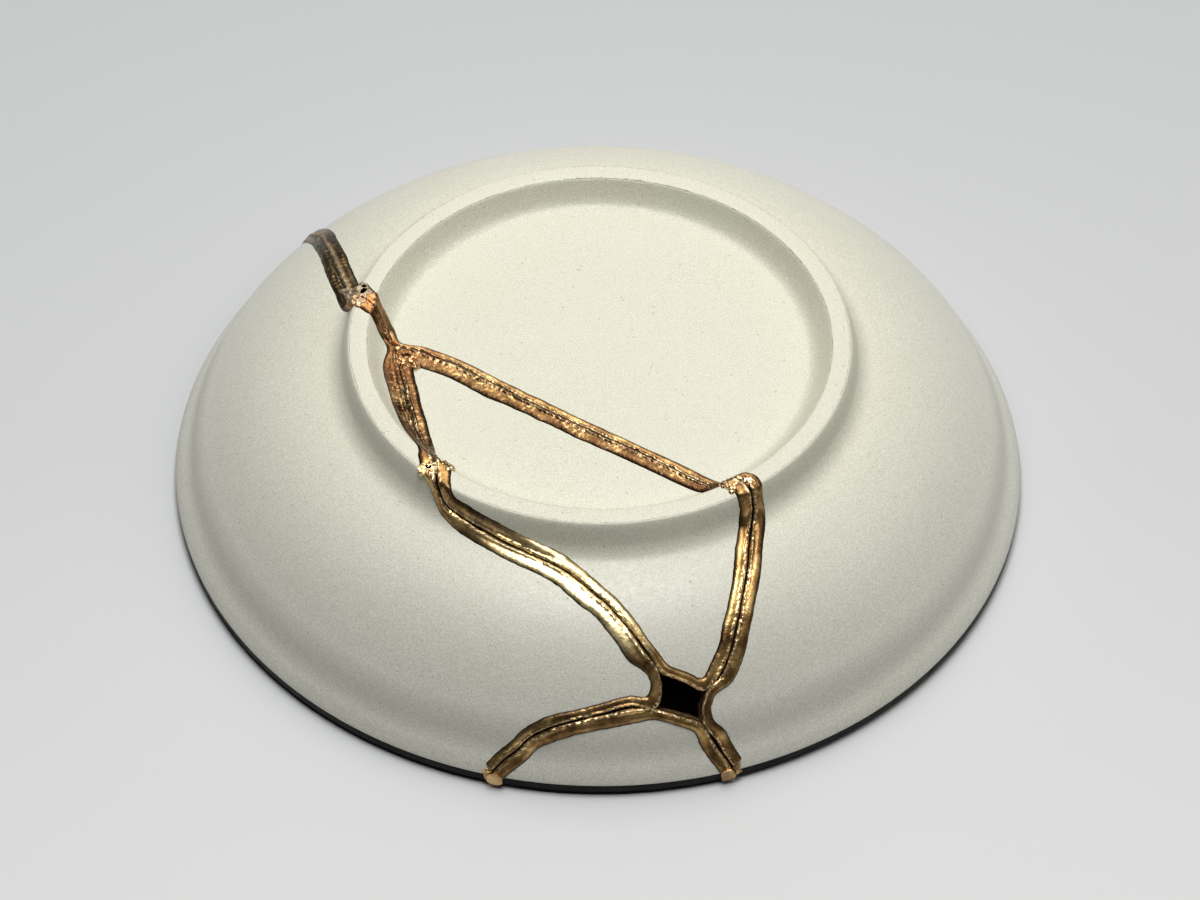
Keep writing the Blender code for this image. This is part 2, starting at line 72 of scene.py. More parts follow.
# The lip's edge from its top corner down: distance in from the rim and height
LIP_SECTION = ((0.0, 3.15), (0.04, 2.4), (0.1, 1.5), (0.35, 0.75), (0.7, 0.22))
# Slight waves of the thrown pot: height and length in millimetres, shift of the pattern
THROWN_WAVES = ((0.10, 34.0, 0.3), (0.03, 9.0, 0.7))
# The lip keeps its true section up to this height
WAVES_FROM = 6.0

DISC_HEIGHT = FOOT_HEIGHT - DISC_DEPTH
FOOT_INNER_RADIUS = DISC_RADIUS + FOOT_SLOPE_RUN
FOOT_OUTER_RADIUS = FOOT_INNER_RADIUS + FOOT_WIDTH
FOOT_FLANK = (FOOT_OUTER_RADIUS + 0.36 * ROOT_RUN, FOOT_HEIGHT - 0.68 * ROOT_DROP, -56.0)
ROOT = (FOOT_OUTER_RADIUS + ROOT_RUN, FOOT_HEIGHT - ROOT_DROP, -12.0)
SHOULDER = (RIM_RADIUS - SHOULDER_INSET, SHOULDER_HEIGHT, -49.0)
WALL = (ROOT[0] + 0.6 * (SHOULDER[0] - ROOT[0]), ROOT[1] + 0.4 * (SHOULDER[1] - ROOT[1]), -34.0)
LIP_START = (RIM_RADIUS - LIP_FLARE, LIP_EDGE_HEIGHT + LIP_FALL, -49.0)
COVE = (LIP_START[0] - COVE_RUN, LIP_START[1] + COVE_RISE, -70.0)
REST_OUTER_RADIUS = RIM_RADIUS - REST_INSET
REST_INNER_RADIUS = REST_OUTER_RADIUS - REST_WIDTH

OUTER_STATIONS = (
    (0.0, DISC_HEIGHT, 0.0),
    (DISC_RADIUS, DISC_HEIGHT, 0.0),
    (DISC_RADIUS + 0.47 * FOOT_SLOPE_RUN, DISC_HEIGHT + 0.2 * DISC_DEPTH, 45.0),
    (FOOT_INNER_RADIUS - 1.25 * FOOT_CORNER, FOOT_HEIGHT - FOOT_CORNER, 58.0),
    (FOOT_INNER_RADIUS, FOOT_HEIGHT, 0.0),
    (FOOT_OUTER_RADIUS, FOOT_HEIGHT, 0.0),
    (FOOT_OUTER_RADIUS + FOOT_CORNER, FOOT_HEIGHT - 0.7 * FOOT_CORNER, -60.0),
    FOOT_FLANK,
    ROOT,
    WALL,
    SHOULDER,
    COVE,
    LIP_START,
    (RIM_RADIUS, LIP_EDGE_HEIGHT, -64.0),
)
OUTER_FINE = (6, 7, 6, 4, 2, 4, 6, 7, 10, 10, 12, 7, 7)


def behind(station):
    """Station of the inner side, one wall thickness behind a station of the outer side."""
    radius, height, slope = station
    lean = math.radians(slope)
    return radius + math.sin(lean) * WALL_THICKNESS, height - math.cos(lean) * WALL_THICKNESS, slope


INNER_STATIONS = (
    (0.0, DISC_HEIGHT - FLOOR_THICKNESS, 0.0),
    ((FOOT_INNER_RADIUS + FOOT_OUTER_RADIUS) / 2, DISC_HEIGHT - FLOOR_THICKNESS, 0.0),
    behind(ROOT),
    behind(WALL),
    behind(SHOULDER),
    behind(COVE),
    (REST_INNER_RADIUS - LIP_HOLLOW_RUN, LIP_HOLLOW_HEIGHT, -48.0),
    (REST_INNER_RADIUS, 0.0, -30.0),
)
INNER_FINE = (5, 4, 6, 6, 6, 3, 4)

THROUGH_WALL = (
    (0.0, 0.0),
    (FOOT_FLANK[0], FOOT_FLANK[0] - 0.1 * WALL_THICKNESS),
    (ROOT[0], behind(ROOT)[0]),
    (WALL[0], behind(WALL)[0]),
    (SHOULDER[0], behind(SHOULDER)[0]),
    (COVE[0], behind(COVE)[0]),
    (REST_INNER_RADIUS - 0.17 * REST_WIDTH, REST_INNER_RADIUS - 0.78 * REST_WIDTH),
    (REST_INNER_RADIUS + 0.17 * REST_WIDTH, REST_INNER_RADIUS + 0.17 * REST_WIDTH),
    (RIM_RADIUS, RIM_RADIUS),
)

# The cracks, as plan points (x, y) on the outer side: those of the photo, close to those of the solids
FOOT_MEETING = (-52.1, 1.5)
FOOT_CROSSING = (36.0, -49.6)
HOLE_TOP_LEFT = (15.7, -92.9)
HOLE_TOP_RIGHT = (26.3, -94.9)
HOLE_LOW_RIGHT = (25.7, -99.8)
HOLE_LOW_LEFT = (14.9, -98.8)
REAR_CRACK = (
    (-83.2, 70.6),
    (-81.7, 69.3),
    (-79.8, 67.6),
    (-78.8, 66.1),
    (-76.4, 59.6),
    (-74.6, 54.0),
    (-72.4, 46.2),
    (-70.3, 38.2),
    (-68.2, 31.0),
    (-66.2, 24.6),
    (-63.9, 17.6),
    (-61.9, 14.5),
    (-59.6, 11.8),
    (-56.0, 7.9),
)
DISC_CRACK = (
    (-44.6, -0.9),
    (-37.1, -4.7),
    (-29.5, -9.6),
    (-21.9, -14.6),
    (-14.4, -19.5),
    (-6.9, -24.3),
    (-0.3, -28.3),
    (6.4, -32.3),
    (12.0, -35.8),
    (17.6, -39.3),
    (24.4, -43.9),
    (30.4, -46.9),
)
RIGHT_CRACK = (
    (37.9, -53.7),
    (37.0, -62.2),
    (36.2, -70.2),
    (34.7, -78.5),
    (32.8, -85.9),
    (30.2, -91.2),
)
LEFT_CRACK = (
    (-50.6, -6.4),
    (-48.9, -13.6),
    (-47.2, -21.6),
    (-45.4, -29.0),
    (-42.6, -36.8),
)
LEFT_NECK = (
    (-41.6, -40.2),
    (-40.4, -43.7),
    (-39.8, -46.6),
    (-39.3, -49.2),
    (-38.5, -51.7),
    (-36.7, -53.9),
)
LEFT_LOWER_CRACK = (
    (-32.6, -57.1),
    (-27.4, -60.4),
    (-21.6, -63.6),
    (-15.8, -66.7),
    (-9.2, -70.0),
    (-3.9, -74.0),
    (0.3, -77.5),
    (3.6, -80.4),
    (8.2, -85.2),
    (12.0, -88.9),
)
LOW_LEFT_CRACK = (
    (8.8, -99.0),
    (2.5, -100.2),
    (-4.6, -101.3),
    (-10.8, -102.3),
    (-15.4, -103.1),
    (-18.7, -104.1),
    (-22.0, -105.4),
    (-24.4, -106.6),
)
LOW_RIGHT_CRACK = (
    (28.8, -101.1),
    (31.2, -102.8),
    (33.2, -104.2),
)

# Widths of the collars along each crack, at its first and at its last point, on the shards beside it
REAR_WIDTHS = {"main": (3.8, 3.8), "left": (2.9, 2.9)}
DISC_WIDTHS = {"main": (2.5, 2.8), "middle": (4.6, 2.9)}
RIGHT_WIDTHS = {"main": (3.4, 3.5), "middle": (3.4, 3.2)}
LEFT_WIDTHS = {"left": (4.8, 4.4), "middle": (3.4, 3.4)}
NECK_WIDTHS = {"left": (3.1, 3.0), "middle": (3.1, 3.8)}
LEFT_LOWER_WIDTHS = {"left": (3.7, 4.6), "middle": (4.2, 2.3)}
LOW_LEFT_WIDTHS = {"left": (2.7, 2.6), "rim": (3.9, 3.4)}
LOW_RIGHT_WIDTHS = {"main": (3.6, 3.3), "rim": (3.6, 3.3)}
CROSSING_WIDTH = 2.8
HOLE_WIDTH = 2.8
MEETING_WIDTH = 2.2

# The gold edging
GAP = 0.3
SUNK = 0.35
WEB = 0.95
WEB_START = 0.97
INNER_WIDTH = 1.7
LOWEST_GOLD = 0.2
LONGEST_STEP = 8.6
SHORTEST_STEP = 1.8
BREAK_RADII = (
    DISC_RADIUS + 0.1 * FOOT_SLOPE_RUN,
    DISC_RADIUS + 0.47 * FOOT_SLOPE_RUN,
    FOOT_INNER_RADIUS - FOOT_CORNER,
    FOOT_OUTER_RADIUS + 0.4 * FOOT_CORNER,
    FOOT_OUTER_RADIUS + 0.2 * ROOT_RUN,
    FOOT_OUTER_RADIUS + 0.4 * ROOT_RUN,
    ROOT[0],
    REST_INNER_RADIUS - 0.6 * REST_WIDTH,
)
SHARPEST_MITRE = 0.34
FINE_STEP = 0.34
# Across the collar, from the crack (0) to its border (1): place and height in millimetres
COLLAR = (
    (0.0, 0.10),
    (0.03, 0.27),
    (0.07, 0.37),
    (0.11, 0.42),
    (0.15, 0.45),
    (0.19, 0.47),
    (0.23, 0.48),
    (0.28, 0.47),
    (0.34, 0.50),
    (0.41, 0.54),
    (0.49, 0.57),
    (0.57, 0.58),
    (0.65, 0.56),
    (0.73, 0.50),
    (0.81, 0.40),
    (0.88, 0.27),
    (0.94, 0.12),
    (0.98, -0.02),
    (1.0, -0.14),
)
# The ragged bead beside the crack; its height comes and goes along it
BEAD_PLACE = 0.2
BEAD_SPREAD = 0.11
BEAD_HEIGHT = 0.46
BEAD_GAIN = 0.55
BEAD_GAIN_WAVES = ((1.1, 7.0, 0.7),)
BEAD_GAIN_LEAST = 0.05
BEAD_GAIN_MOST = 1.15
# Relief of the gold: size of the lumps, shift of the pattern, height on the plain collar, more on the bead
# and more on a knob
RELIEF = (
    (3.4, 0.11, 0.03, 0.08, 0.25),
    (1.25, 0.23, 0.010, 0.22, 0.22),
    (0.55, 0.37, 0.004, 0.24, 0.12),
)
RELIEF_FADE = 0.15
# The groove between two collars: half its width, its waves, and how far it stands open in places
GROOVE_HALF = 0.28 * GAP
GROOVE_WAVES = ((0.07, 1.6, 0.0), (0.04, 0.6, 0.0))
GROOVE_LEAST = 0.02
GROOVE_ON_DISC = 0.12
GROOVE_REAR = 0.25
GROOVE_OPENS_FROM = FOOT_INNER_RADIUS - 2.0
GROOVE_OPENS_OVER = 3.0
GROOVE_OPEN = 0.9
# Where the groove is closed a low ridge stands over it
RIDGE_HEIGHT = 0.55
RIDGE_REACH = 0.3
RIDGE_POWER = 1.5
# Waves of the crack's line along the profile and round the axis, of a collar's border and of its height
ALONG_WAVES = ((0.20, 5.0, 0.83), (0.05, 1.1, 0.47))
ROUND_WAVES = ((0.20, 5.0, 0.29), (0.05, 1.1, 0.61))
BORDER_WAVES = ((0.10, 9.0, 0.1), (0.02, 1.6, 0.2))
SWELL_WAVES = ((0.18, 8.0, 0.4),)
INNER_WAVE = 0.06
INNER_WAVE_LENGTH = 2.0
# Where the gold swells into a knob: place and size
KNOBS = (
    ((-39.6, -46.0, 46.7), 2.6),
    ((36.2, -50.4, 46.7), 3.4),
)
KNOB_WIDENS = 0.28
KNOB_SWELLS = 0.3
# Knots of lumps where the gold crosses the foot ring and where three seams meet: piece, place in plan, reach,
# number of lumps, size of a lump, shares of ash and darkening
KNOTS = (
    ("left", (-41.0, -46.5), 1.7, 5, 1.6, 0.0, 0.0),
    ("middle", (-37.0, -45.5), 1.4, 3, 1.4, 0.0, 0.0),
    ("main", (36.5, -49.0), 1.2, 3, 1.3, 0.0, 0.0),
    ("middle", (32.5, -51.5), 1.5, 4, 1.2, 0.0, 0.0),
    ("middle", (30.5, -50.0), 1.2, 4, 0.9, 0.0, 0.6),
    ("main", (-61.5, 15.5), 2.3, 7, 1.7, 0.8, 0.0),
    ("left", (-61.5, 11.5), 1.6, 5, 1.6, 0.5, 0.0),
    ("left", (-65.0, 22.5), 1.8, 3, 1.7, 1.0, 0.0),
    ("middle", (-48.5, -4.0), 2.4, 6, 1.6, 0.0, 0.0),
)
GOLDEN_TURN = math.pi * (3.0 - math.sqrt(5.0))
LUMP_SUNK = 0.12
LUMP_SIZE = 0.85
LUMP_SIZE_CHANGE = 0.2
LUMP_WAVES = ((0.34, 1.5, 0.0), (0.22, 0.7, 0.3))
LUMP_FLATNESS = 0.85
LUMP_TONE_PLACE = 0.2
# The lumps that end the collars at the lip
LOBE_PROUD = 0.9
LOBE_BACK = 1.0
LOBE_LOW = 1.3
LOBE_HIGH = LIP_EDGE_HEIGHT + 1.3
LOBE_SQUARE = 0.62
LOBE_WAVES = ((0.45, 1.9, 0.0), (0.30, 0.8, 0.0))
LOBE_SHRINK = 0.05
LOBE_RADIUS = RIM_RADIUS + 0.8
LOBE_TONE_PLACE = 0.4
LOBE_ASH = 0.3
# The gold stays under this height, that of the edging over the foot ring
CREST = FOOT_HEIGHT + 0.7
CREST_SOFT = 0.45
INNER_BAND = ((1.0, -0.1), (0.96, 0.1), (0.8, 0.22), (0.55, 0.27), (0.3, 0.25), (0.12, 0.12))

# Tones of the gold.  Behind the foot ring: where the ash smear and the darker seam begin, the grey streak
SMEAR_FROM = 61.5
SMEAR_OVER = 1.2
SEAM_FROM = 65.0
SEAM_OVER = 2.0
SEAM_DARKENING = 0.9
STREAK_PLACE = 0.25
STREAK_SPREAD = 0.3
STREAK_SHARE = 0.8
# On the disc: painted shade, the gold darkened as if reflecting dark surroundings, less on the main shard's
# collar
DISC_PAINTED_SHADE_MAIN = 0.45
DISC_PAINTED_SHADE = 0.8
DISC_PAINTED_SHADE_WAVES = ((0.3, 4.0, 0.9),)
# On the wall in front: where the painted highlight lies, and for each side of the crack the shares of painted
# shade and painted highlight
PAINTED_HIGHLIGHT_RIGHT = 14.0
PAINTED_HIGHLIGHT_NEAR = -50.0
PAINTED_HIGHLIGHT_UNTIL = 92.0
PAINTED_HIGHLIGHT_FADE = 5.0
PAINTED_HIGHLIGHT_FROM = -34.0
PAINTED_HIGHLIGHT_OVER = 20.0
FRONT_PAINTED_LIGHT = {"left": (0.3, 1.0), "middle": (0.6, 0.5)}
# Beside the chip and elsewhere
LOW_DARKENING_RIGHT = 12.0
LOW_DARKENING_LEFT = 0.5
LOW_DARKENING = 0.2
PLAIN_DARKENING = 0.1
# Over a closed groove the tone across the collar starts at this place, past the painted shade of the groove
CLOSED_TONE_PLACE = 0.11

# The cutters that part the shards
REGION_LIFT = 0.8
REGION_PAST = 24.0
REGION_TOP = FOOT_HEIGHT + REGION_PAST
REGION_LOW = -REGION_PAST
REGION_RADIUS = RIM_RADIUS + REGION_PAST
REGION_RUN = 9.0
REGION_ARC_STEP = math.radians(10.0)
REGION_SET_BACK = 0.75
LEVELS = 6
ARC_STEP = 0.2
TURN_FINE = 320
WIDEST = RIM_RADIUS - 0.005
SHARP_EDGE = math.radians(40.0)


def curve_height(stations, radius):
    """Height and slope at a radius of the smooth curve through the stations."""
    place = bisect.bisect_right([station[0] for station in stations], radius) - 1
    place = min(max(place, 0), len(stations) - 2)
    start_radius, start_height, start_slope = stations[place]
    end_radius, end_height, end_slope = stations[place + 1]
    length = end_radius - start_radius
    t = min(max((radius - start_radius) / length, 0.0), 1.0)
    start_rise = math.tan(math.radians(start_slope)) * length
    end_rise = math.tan(math.radians(end_slope)) * length
    height = (
        (2 * t**3 - 3 * t**2 + 1) * start_height
        + (t**3 - 2 * t**2 + t) * start_rise
        + (3 * t**2 - 2 * t**3) * end_height
        + (t**3 - t**2) * end_rise
    )
    slope = (
        (6 * t**2 - 6 * t) * (start_height - end_height)
        + (3 * t**2 - 4 * t + 1) * start_rise
        + (3 * t**2 - 2 * t) * end_rise
    ) / length
    return height, slope


def profile_points(stations, pieces):
    """Points of a side of the profile, from the axis out."""
    points = [(stations[0][0], stations[0][1])]
    for start, end, count in zip(stations, stations[1:], pieces):
        for step in range(1, count + 1):
            radius = start[0] + (end[0] - start[0]) * step / count
            points.append((radius, curve_height(stations, radius)[0]))
    return points


def arc_table():
    """Radii of the outer side with the distance along it from the axis."""
    radii = [step * ARC_STEP for step in range(int(round(RIM_RADIUS / ARC_STEP)) + 1)]
    heights = [curve_height(OUTER_STATIONS, radius)[0] for radius in radii]
    lengths = [0.0]
    for index in range(1, len(radii)):
        lengths.append(lengths[-1] + math.hypot(ARC_STEP, heights[index] - heights[index - 1]))
    return radii, lengths


ARC_RADII, ARC_LENGTHS = arc_table()
OUTER_BEHIND = [pair[0] for pair in THROUGH_WALL]
INNER_BEHIND = [pair[1] for pair in THROUGH_WALL]


def between(xs, ys, x):
    """Straight-line reading of a table, carried on past its end."""
    place = min(max(bisect.bisect_right(xs, x) - 1, 0), len(xs) - 2)
    share = (x - xs[place]) / (xs[place + 1] - xs[place])
    return ys[place] + (ys[place + 1] - ys[place]) * share


def outer_place(radius, lift):
    """Radius and height of a point lifted off the outer side."""
    height, slope = curve_height(OUTER_STATIONS, radius)
    past = max(radius - RIM_RADIUS, 0.0)
    height += past * slope
    size = math.hypot(1.0, slope)
    return radius - slope / size * lift, height + lift / size


def inner_place(radius, lift):
    """Radius and height of a point lifted off the inner side, behind an outer radius."""
    inner_radius = between(OUTER_BEHIND, INNER_BEHIND, radius)
    height, slope = curve_height(INNER_STATIONS, inner_radius)
    size = math.hypot(1.0, slope)
    return inner_radius + slope / size * lift, height - lift / size


def wall_point(along, turn, inside, lift):
    """Point in metres at a distance along the outer side and an angle round the axis."""
    radius = between(ARC_LENGTHS, ARC_RADII, along)
    place = inner_place(radius, lift) if inside else outer_place(radius, lift)
    return Vector((place[0] * math.cos(turn), place[0] * math.sin(turn), place[1])) * MM


def plan_point(x, y):
    """Distance along the outer side and angle round the axis of a plan point."""
    return between(ARC_RADII, ARC_LENGTHS, math.hypot(x, y)), math.atan2(y, x)


def crossing_share(start, end, radius):
    """Share of the way from start to end at which the distance from the axis is the radius."""
    low, high = 0.0, 1.0
    rising = math.hypot(end[0], end[1]) > math.hypot(start[0], start[1])
    for _ in range(30):
        middle = (low + high) / 2
        x = start[0] + (end[0] - start[0]) * middle
        y = start[1] + (end[1] - start[1]) * middle
        if (math.hypot(x, y) < radius) == rising:
            low = middle
        else:
            high = middle
    return (low + high) / 2


def spaced(points, closed):
    """Route of (x, y, width) with points added on long stretches and where the profile bends."""
    route = []
    pairs = list(zip(points, points[1:] + points[:1])) if closed else list(zip(points, points[1:]))
    for start, end in pairs:
        shares = {0.0}
        start_space = wall_point(*plan_point(start[0], start[1]), False, 0.0)
        end_space = wall_point(*plan_point(end[0], end[1]), False, 0.0)
        count = int((end_space - start_space).length / MM / LONGEST_STEP) + 1
        shares.update(step / count for step in range(1, count))
        start_radius = math.hypot(start[0], start[1])
        end_radius = math.hypot(end[0], end[1])
        for radius in BREAK_RADII:
            if (start_radius - radius) * (end_radius - radius) < 0.0:
                shares.add(crossing_share(start, end, radius))
        kept = []
        for share in sorted(shares):
            x = start[0] + (end[0] - start[0]) * share
            y = start[1] + (end[1] - start[1]) * share
            space = wall_point(*plan_point(x, y), False, 0.0)
            near_start = kept and (space - kept[-1][1]).length < SHORTEST_STEP * MM
            near_end = (space - end_space).length < SHORTEST_STEP * MM
            if share > 0.0 and (near_start or near_end):
                continue
            kept.append(((x, y, start[2] + (end[2] - start[2]) * share), space))
        route.extend(item[0] for item in kept)
    if not closed:
        route.append(points[-1])
    return route


def stations_along(route, closed, side):
    """For each route point: distance along the profile, angle, radius, width and the mitred step."""
    places = [plan_point(x, y) for x, y, _ in route]
    spaces = [wall_point(along, turn, False, 0.0) for along, turn in places]
    result = []
    last = len(route) - 1
    for index, (along, turn) in enumerate(places):
        radius = math.hypot(route[index][0], route[index][1])
        slope = curve_height(OUTER_STATIONS, radius)[1]
        size = math.hypot(1.0, slope)
        outward = Vector((math.cos(turn) / size, math.sin(turn) / size, slope / size))
        around = Vector((-math.sin(turn), math.cos(turn), 0.0))
        turns = []
        if closed or index > 0:
            turns.append(spaces[index] - spaces[index - 1])
        if closed or index < last:
            turns.append(spaces[(index + 1) % len(spaces)] - spaces[index])
        normals = []
        for step in turns:
            flat = Vector((step.dot(outward), step.dot(around))).normalized()
            normals.append(Vector((-flat.y, flat.x)) * side)
        if len(normals) == 1:
            mitre = normals[0]
        else:
            mitre = (normals[0] + normals[1]) / max(1.0 + normals[0].dot(normals[1]), SHARPEST_MITRE)
        result.append((along, turn, radius, route[index][2], mitre))
    return result


def smooth_stations(stations, closed):
    """Many close stations on a smooth curve through the given ones."""
    count = len(stations)
    rows = [(s[0], s[1], s[2], s[3], s[4].x, s[4].y) for s in stations]
    for index in range(1, count):
        turn = rows[index][1]
        before = rows[index - 1][1]
        turn += round((before - turn) / (2 * math.pi)) * 2 * math.pi
        rows[index] = (rows[index][0], turn) + rows[index][2:]
    spaces = [wall_point(s[0], s[1], False, 0.0) for s in stations]
    result = []
    spans = count if closed else count - 1
    for index in range(spans):
        if closed:
            four = [rows[(index + step) % count] for step in (-1, 0, 1, 2)]
        else:
            four = [rows[min(max(index + step, 0), count - 1)] for step in (-1, 0, 1, 2)]
        knots = [0.0]
        for first, second in zip(four, four[1:]):
            gap = math.hypot(second[0] - first[0], (second[1] - first[1]) * first[2])
            knots.append(knots[-1] + max(gap, 0.05) ** 0.5)
        length = (spaces[(index + 1) % count] - spaces[index]).length / MM
        steps = max(int(round(length / FINE_STEP)), 1)
        for step in range(steps):
            t = knots[1] + (knots[2] - knots[1]) * step / steps
            result.append(catmull(four, knots, t))
    if not closed:
        result.append(rows[-1])
    return [(row[0], row[1], row[2], row[3], Vector((row[4], row[5]))) for row in result]


def catmull(four, knots, t):
    """Point at t on the centripetal curve through four rows."""
    def mix(first, second, low, high):
        share = (t - low) / (high - low)
        return tuple(a + (b - a) * share for a, b in zip(first, second))

    first = mix(four[0], four[1], knots[0], knots[1])
    second = mix(four[1], four[2], knots[1], knots[2])
    third = mix(four[2], four[3], knots[2], knots[3])
    left = mix(first, second, knots[0], knots[2])
    right = mix(second, third, knots[1], knots[3])
    return mix(left, right, knots[1], knots[2])


def heading(end, before):
    """Plan point of the end of a crack and the level direction in which the crack leaves the plate there."""
    tip = wall_point(end[0], end[1], False, 0.0) / MM
    root = wall_point(before[0], before[1], False, 0.0) / MM
    tip.z = 0.0
    root.z = 0.0
    return tip, (tip - root).normalized()


def flat_triangles(points, forward):
    """Triangles of a flat outline, wound the way the outline runs or against it."""
    outline = [Vector((point.x / MM, point.y / MM, 0.0)) for point in points]
    area = sum(a.x * b.y - b.x * a.y for a, b in zip(outline, outline[1:] + outline[:1]))
    triangles = []
    for first, second, third in tessellate_polygon([outline]):
        span = (outline[second] - outline[first]).cross(outline[third] - outline[first]).z
        if (span * area > 0.0) != forward:
            first, third = third, first
        triangles.append((first, second, third))
    return triangles


def finished(name, bm):
    """Object from a closed mesh, with its faces turned outward."""
    bmesh.ops.triangulate(bm, faces=bm.faces[:], quad_method="FIXED")
    if bm.calc_volume(signed=True) < 0.0:
        bmesh.ops.reverse_faces(bm, faces=bm.faces[:])
    mesh = bpy.data.meshes.new(name)
    bm.to_mesh(mesh)
    bm.free()
    made = bpy.data.objects.new(name, mesh)
    bpy.context.scene.collection.objects.link(made)
    return made


def region(name, stations, closed, sweep_side):
    """Cutter that covers one shard: walls behind the cracks, flat top and bottom, a wide arc past the rim."""
    columns = []
    for along, turn, radius, _, mitre in stations:
        along += mitre.x * REGION_SET_BACK
        turn += mitre.y * REGION_SET_BACK / radius
        high = wall_point(along, turn, False, REGION_LIFT)
        low = wall_point(along, turn, True, REGION_LIFT)
        top = Vector((high.x, high.y, REGION_TOP * MM))
        bottom = Vector((low.x, low.y, REGION_LOW * MM))
        outside = wall_point(along, turn, False, 0.0)
        inside = wall_point(along, turn, True, 0.0)
        columns.append((top, high, outside, inside, low, bottom))
    if not closed:
        drop = (REGION_TOP - REGION_LOW) / (LEVELS - 1)
        levels = [REGION_TOP - drop * level for level in range(LEVELS)]
        last_tip, last_way = heading(stations[-1], stations[-2])
        first_tip, first_way = heading(stations[0], stations[1])
        last_tip += Vector((-last_way.y, last_way.x, 0.0)) * sweep_side * REGION_SET_BACK
        first_tip += Vector((first_way.y, -first_way.x, 0.0)) * sweep_side * REGION_SET_BACK
        leaving = last_tip + last_way * REGION_RUN
        returning = first_tip + first_way * REGION_RUN
        start_turn = math.atan2(leaving.y, leaving.x)
        sweep = (math.atan2(returning.y, returning.x) - start_turn) * sweep_side % (2 * math.pi) * sweep_side
        steps = max(int(abs(sweep) / REGION_ARC_STEP), 2)
        edge = [(leaving.x, leaving.y)]
        for step in range(steps + 1):
            turn = start_turn + sweep * step / steps
            edge.append((REGION_RADIUS * math.cos(turn), REGION_RADIUS * math.sin(turn)))
        edge.append((returning.x, returning.y))
        for x, y in edge:
            columns.append(tuple(Vector((x, y, level)) * MM for level in levels))
    bm = bmesh.new()
    rows = [[bm.verts.new(point) for point in column] for column in columns]
    for index, near in enumerate(rows):
        far = rows[(index + 1) % len(rows)]
        for level in range(LEVELS - 1):
            bm.faces.new((near[level], near[level + 1], far[level + 1], far[level]))
    for level in (0, LEVELS - 1):
        for corners in flat_triangles([column[level] for column in columns], level == 0):
            bm.faces.new([rows[corner][level] for corner in corners])
    return finished(name, bm)


def grain(point, size, shift):
    """Smooth noise of about -1 to 1 at a point in metres, with lumps of a size in millimetres."""
    return noise.noise(Vector((point.x + shift, point.y - shift, point.z + shift)) / (size * MM))


def waves(point, table, seed):
    """Sum of noises at a point in metres, from rows of height, length and shift."""
    return sum(height * grain(point, length, seed + shift) for height, length, shift in table)


def climb(value, start, run):
    """Share from 0 to 1 of the way of a value through a run."""
    return min(max((value - start) / run, 0.0), 1.0)


def whole_plate():
    """Fine mesh of the whole plate: cream outside, dark inside, with the slight waves of a thrown pot."""
    outer = profile_points(OUTER_STATIONS, OUTER_FINE)
    inner = profile_points(INNER_STATIONS, INNER_FINE)
    lip = [(RIM_RADIUS - inset, height) for inset, height in LIP_SECTION]
    lip += [(REST_OUTER_RADIUS, 0.0), ((REST_OUTER_RADIUS + REST_INNER_RADIUS) / 2, 0.0)]
    points = outer + lip + list(reversed(inner))
    dark_from = len(outer) - 1
    bm = bmesh.new()
    rows = []
    for turn_step in range(TURN_FINE):
        turn = 2 * math.pi * turn_step / TURN_FINE
        row = []
        for radius, height in points:
            if radius < 1e-6:
                row.append(None)
                continue
            radius = min(radius, WIDEST)
            row.append(bm.verts.new(Vector((radius * math.cos(turn), radius * math.sin(turn), height)) * MM))
        rows.append(row)
    top = bm.verts.new((0.0, 0.0, points[0][1] * MM))
    bottom = bm.verts.new((0.0, 0.0, points[-1][1] * MM))
    for turn_step, row in enumerate(rows):
        following = rows[(turn_step + 1) % TURN_FINE]
        for place in range(len(points) - 1):
            if place == 0:
                face = bm.faces.new((top, row[1], following[1]))
            elif place == len(points) - 2:
                face = bm.faces.new((row[place], bottom, following[place]))
            else:
                face = bm.faces.new((row[place], row[place + 1], following[place + 1], following[place]))
            face.smooth = True
            face.material_index = 1 if place >= dark_from else 0
    bmesh.ops.triangulate(bm, faces=bm.faces[:])
    bm.normal_update()
    for vertex in bm.verts:
        if vertex.co.z >= WAVES_FROM * MM:
            vertex.co += vertex.normal * waves(vertex.co, THROWN_WAVES, 0.0) * MM
    return finished("whole_plate", bm)


def cut_shard(name, plate, cover):
    """The part of the whole plate inside a cover, as a mesh of its own."""
    made = bpy.data.objects.new(name, plate.data.copy())
    bpy.context.scene.collection.objects.link(made)
    cut = made.modifiers.new("cut", "BOOLEAN")
    cut.operation = "INTERSECT"
    cut.solver = "EXACT"
    cut.object = cover
    graph = bpy.context.evaluated_depsgraph_get()
    mesh = bpy.data.meshes.new_from_object(made.evaluated_get(graph))
    made.modifiers.clear()
    mesh.set_sharp_from_angle(angle=SHARP_EDGE)
    made.data = mesh
    made.data.name = name
    return made


def bead_share(share):
    """How much of the bead beside the crack stands at a place across the collar."""
    return math.exp(-((share - BEAD_PLACE) / BEAD_SPREAD) ** 2)


def gold_lift(point, share, knob):
    """Lumps and grains of the gold at a point of the collar, in millimetres."""
    bead = bead_share(share)
    fade = climb(1.0 - share, 0.0, RELIEF_FADE)
    return fade * sum(
        (plain + on_bead * bead + on_knob * knob) * grain(point, size, shift)
        for size, shift, plain, on_bead, on_knob in RELIEF
    )


def groove_share(point):
    """How far the groove between two collars stands open: little on the disc and behind the foot ring."""
    if point.y > 0.0 and point.x < 0.0:
        return GROOVE_REAR
    opened = climb(math.hypot(point.x, point.y) / MM, GROOVE_OPENS_FROM, GROOVE_OPENS_OVER)
    return GROOVE_ON_DISC + (1.0 - GROOVE_ON_DISC) * opened


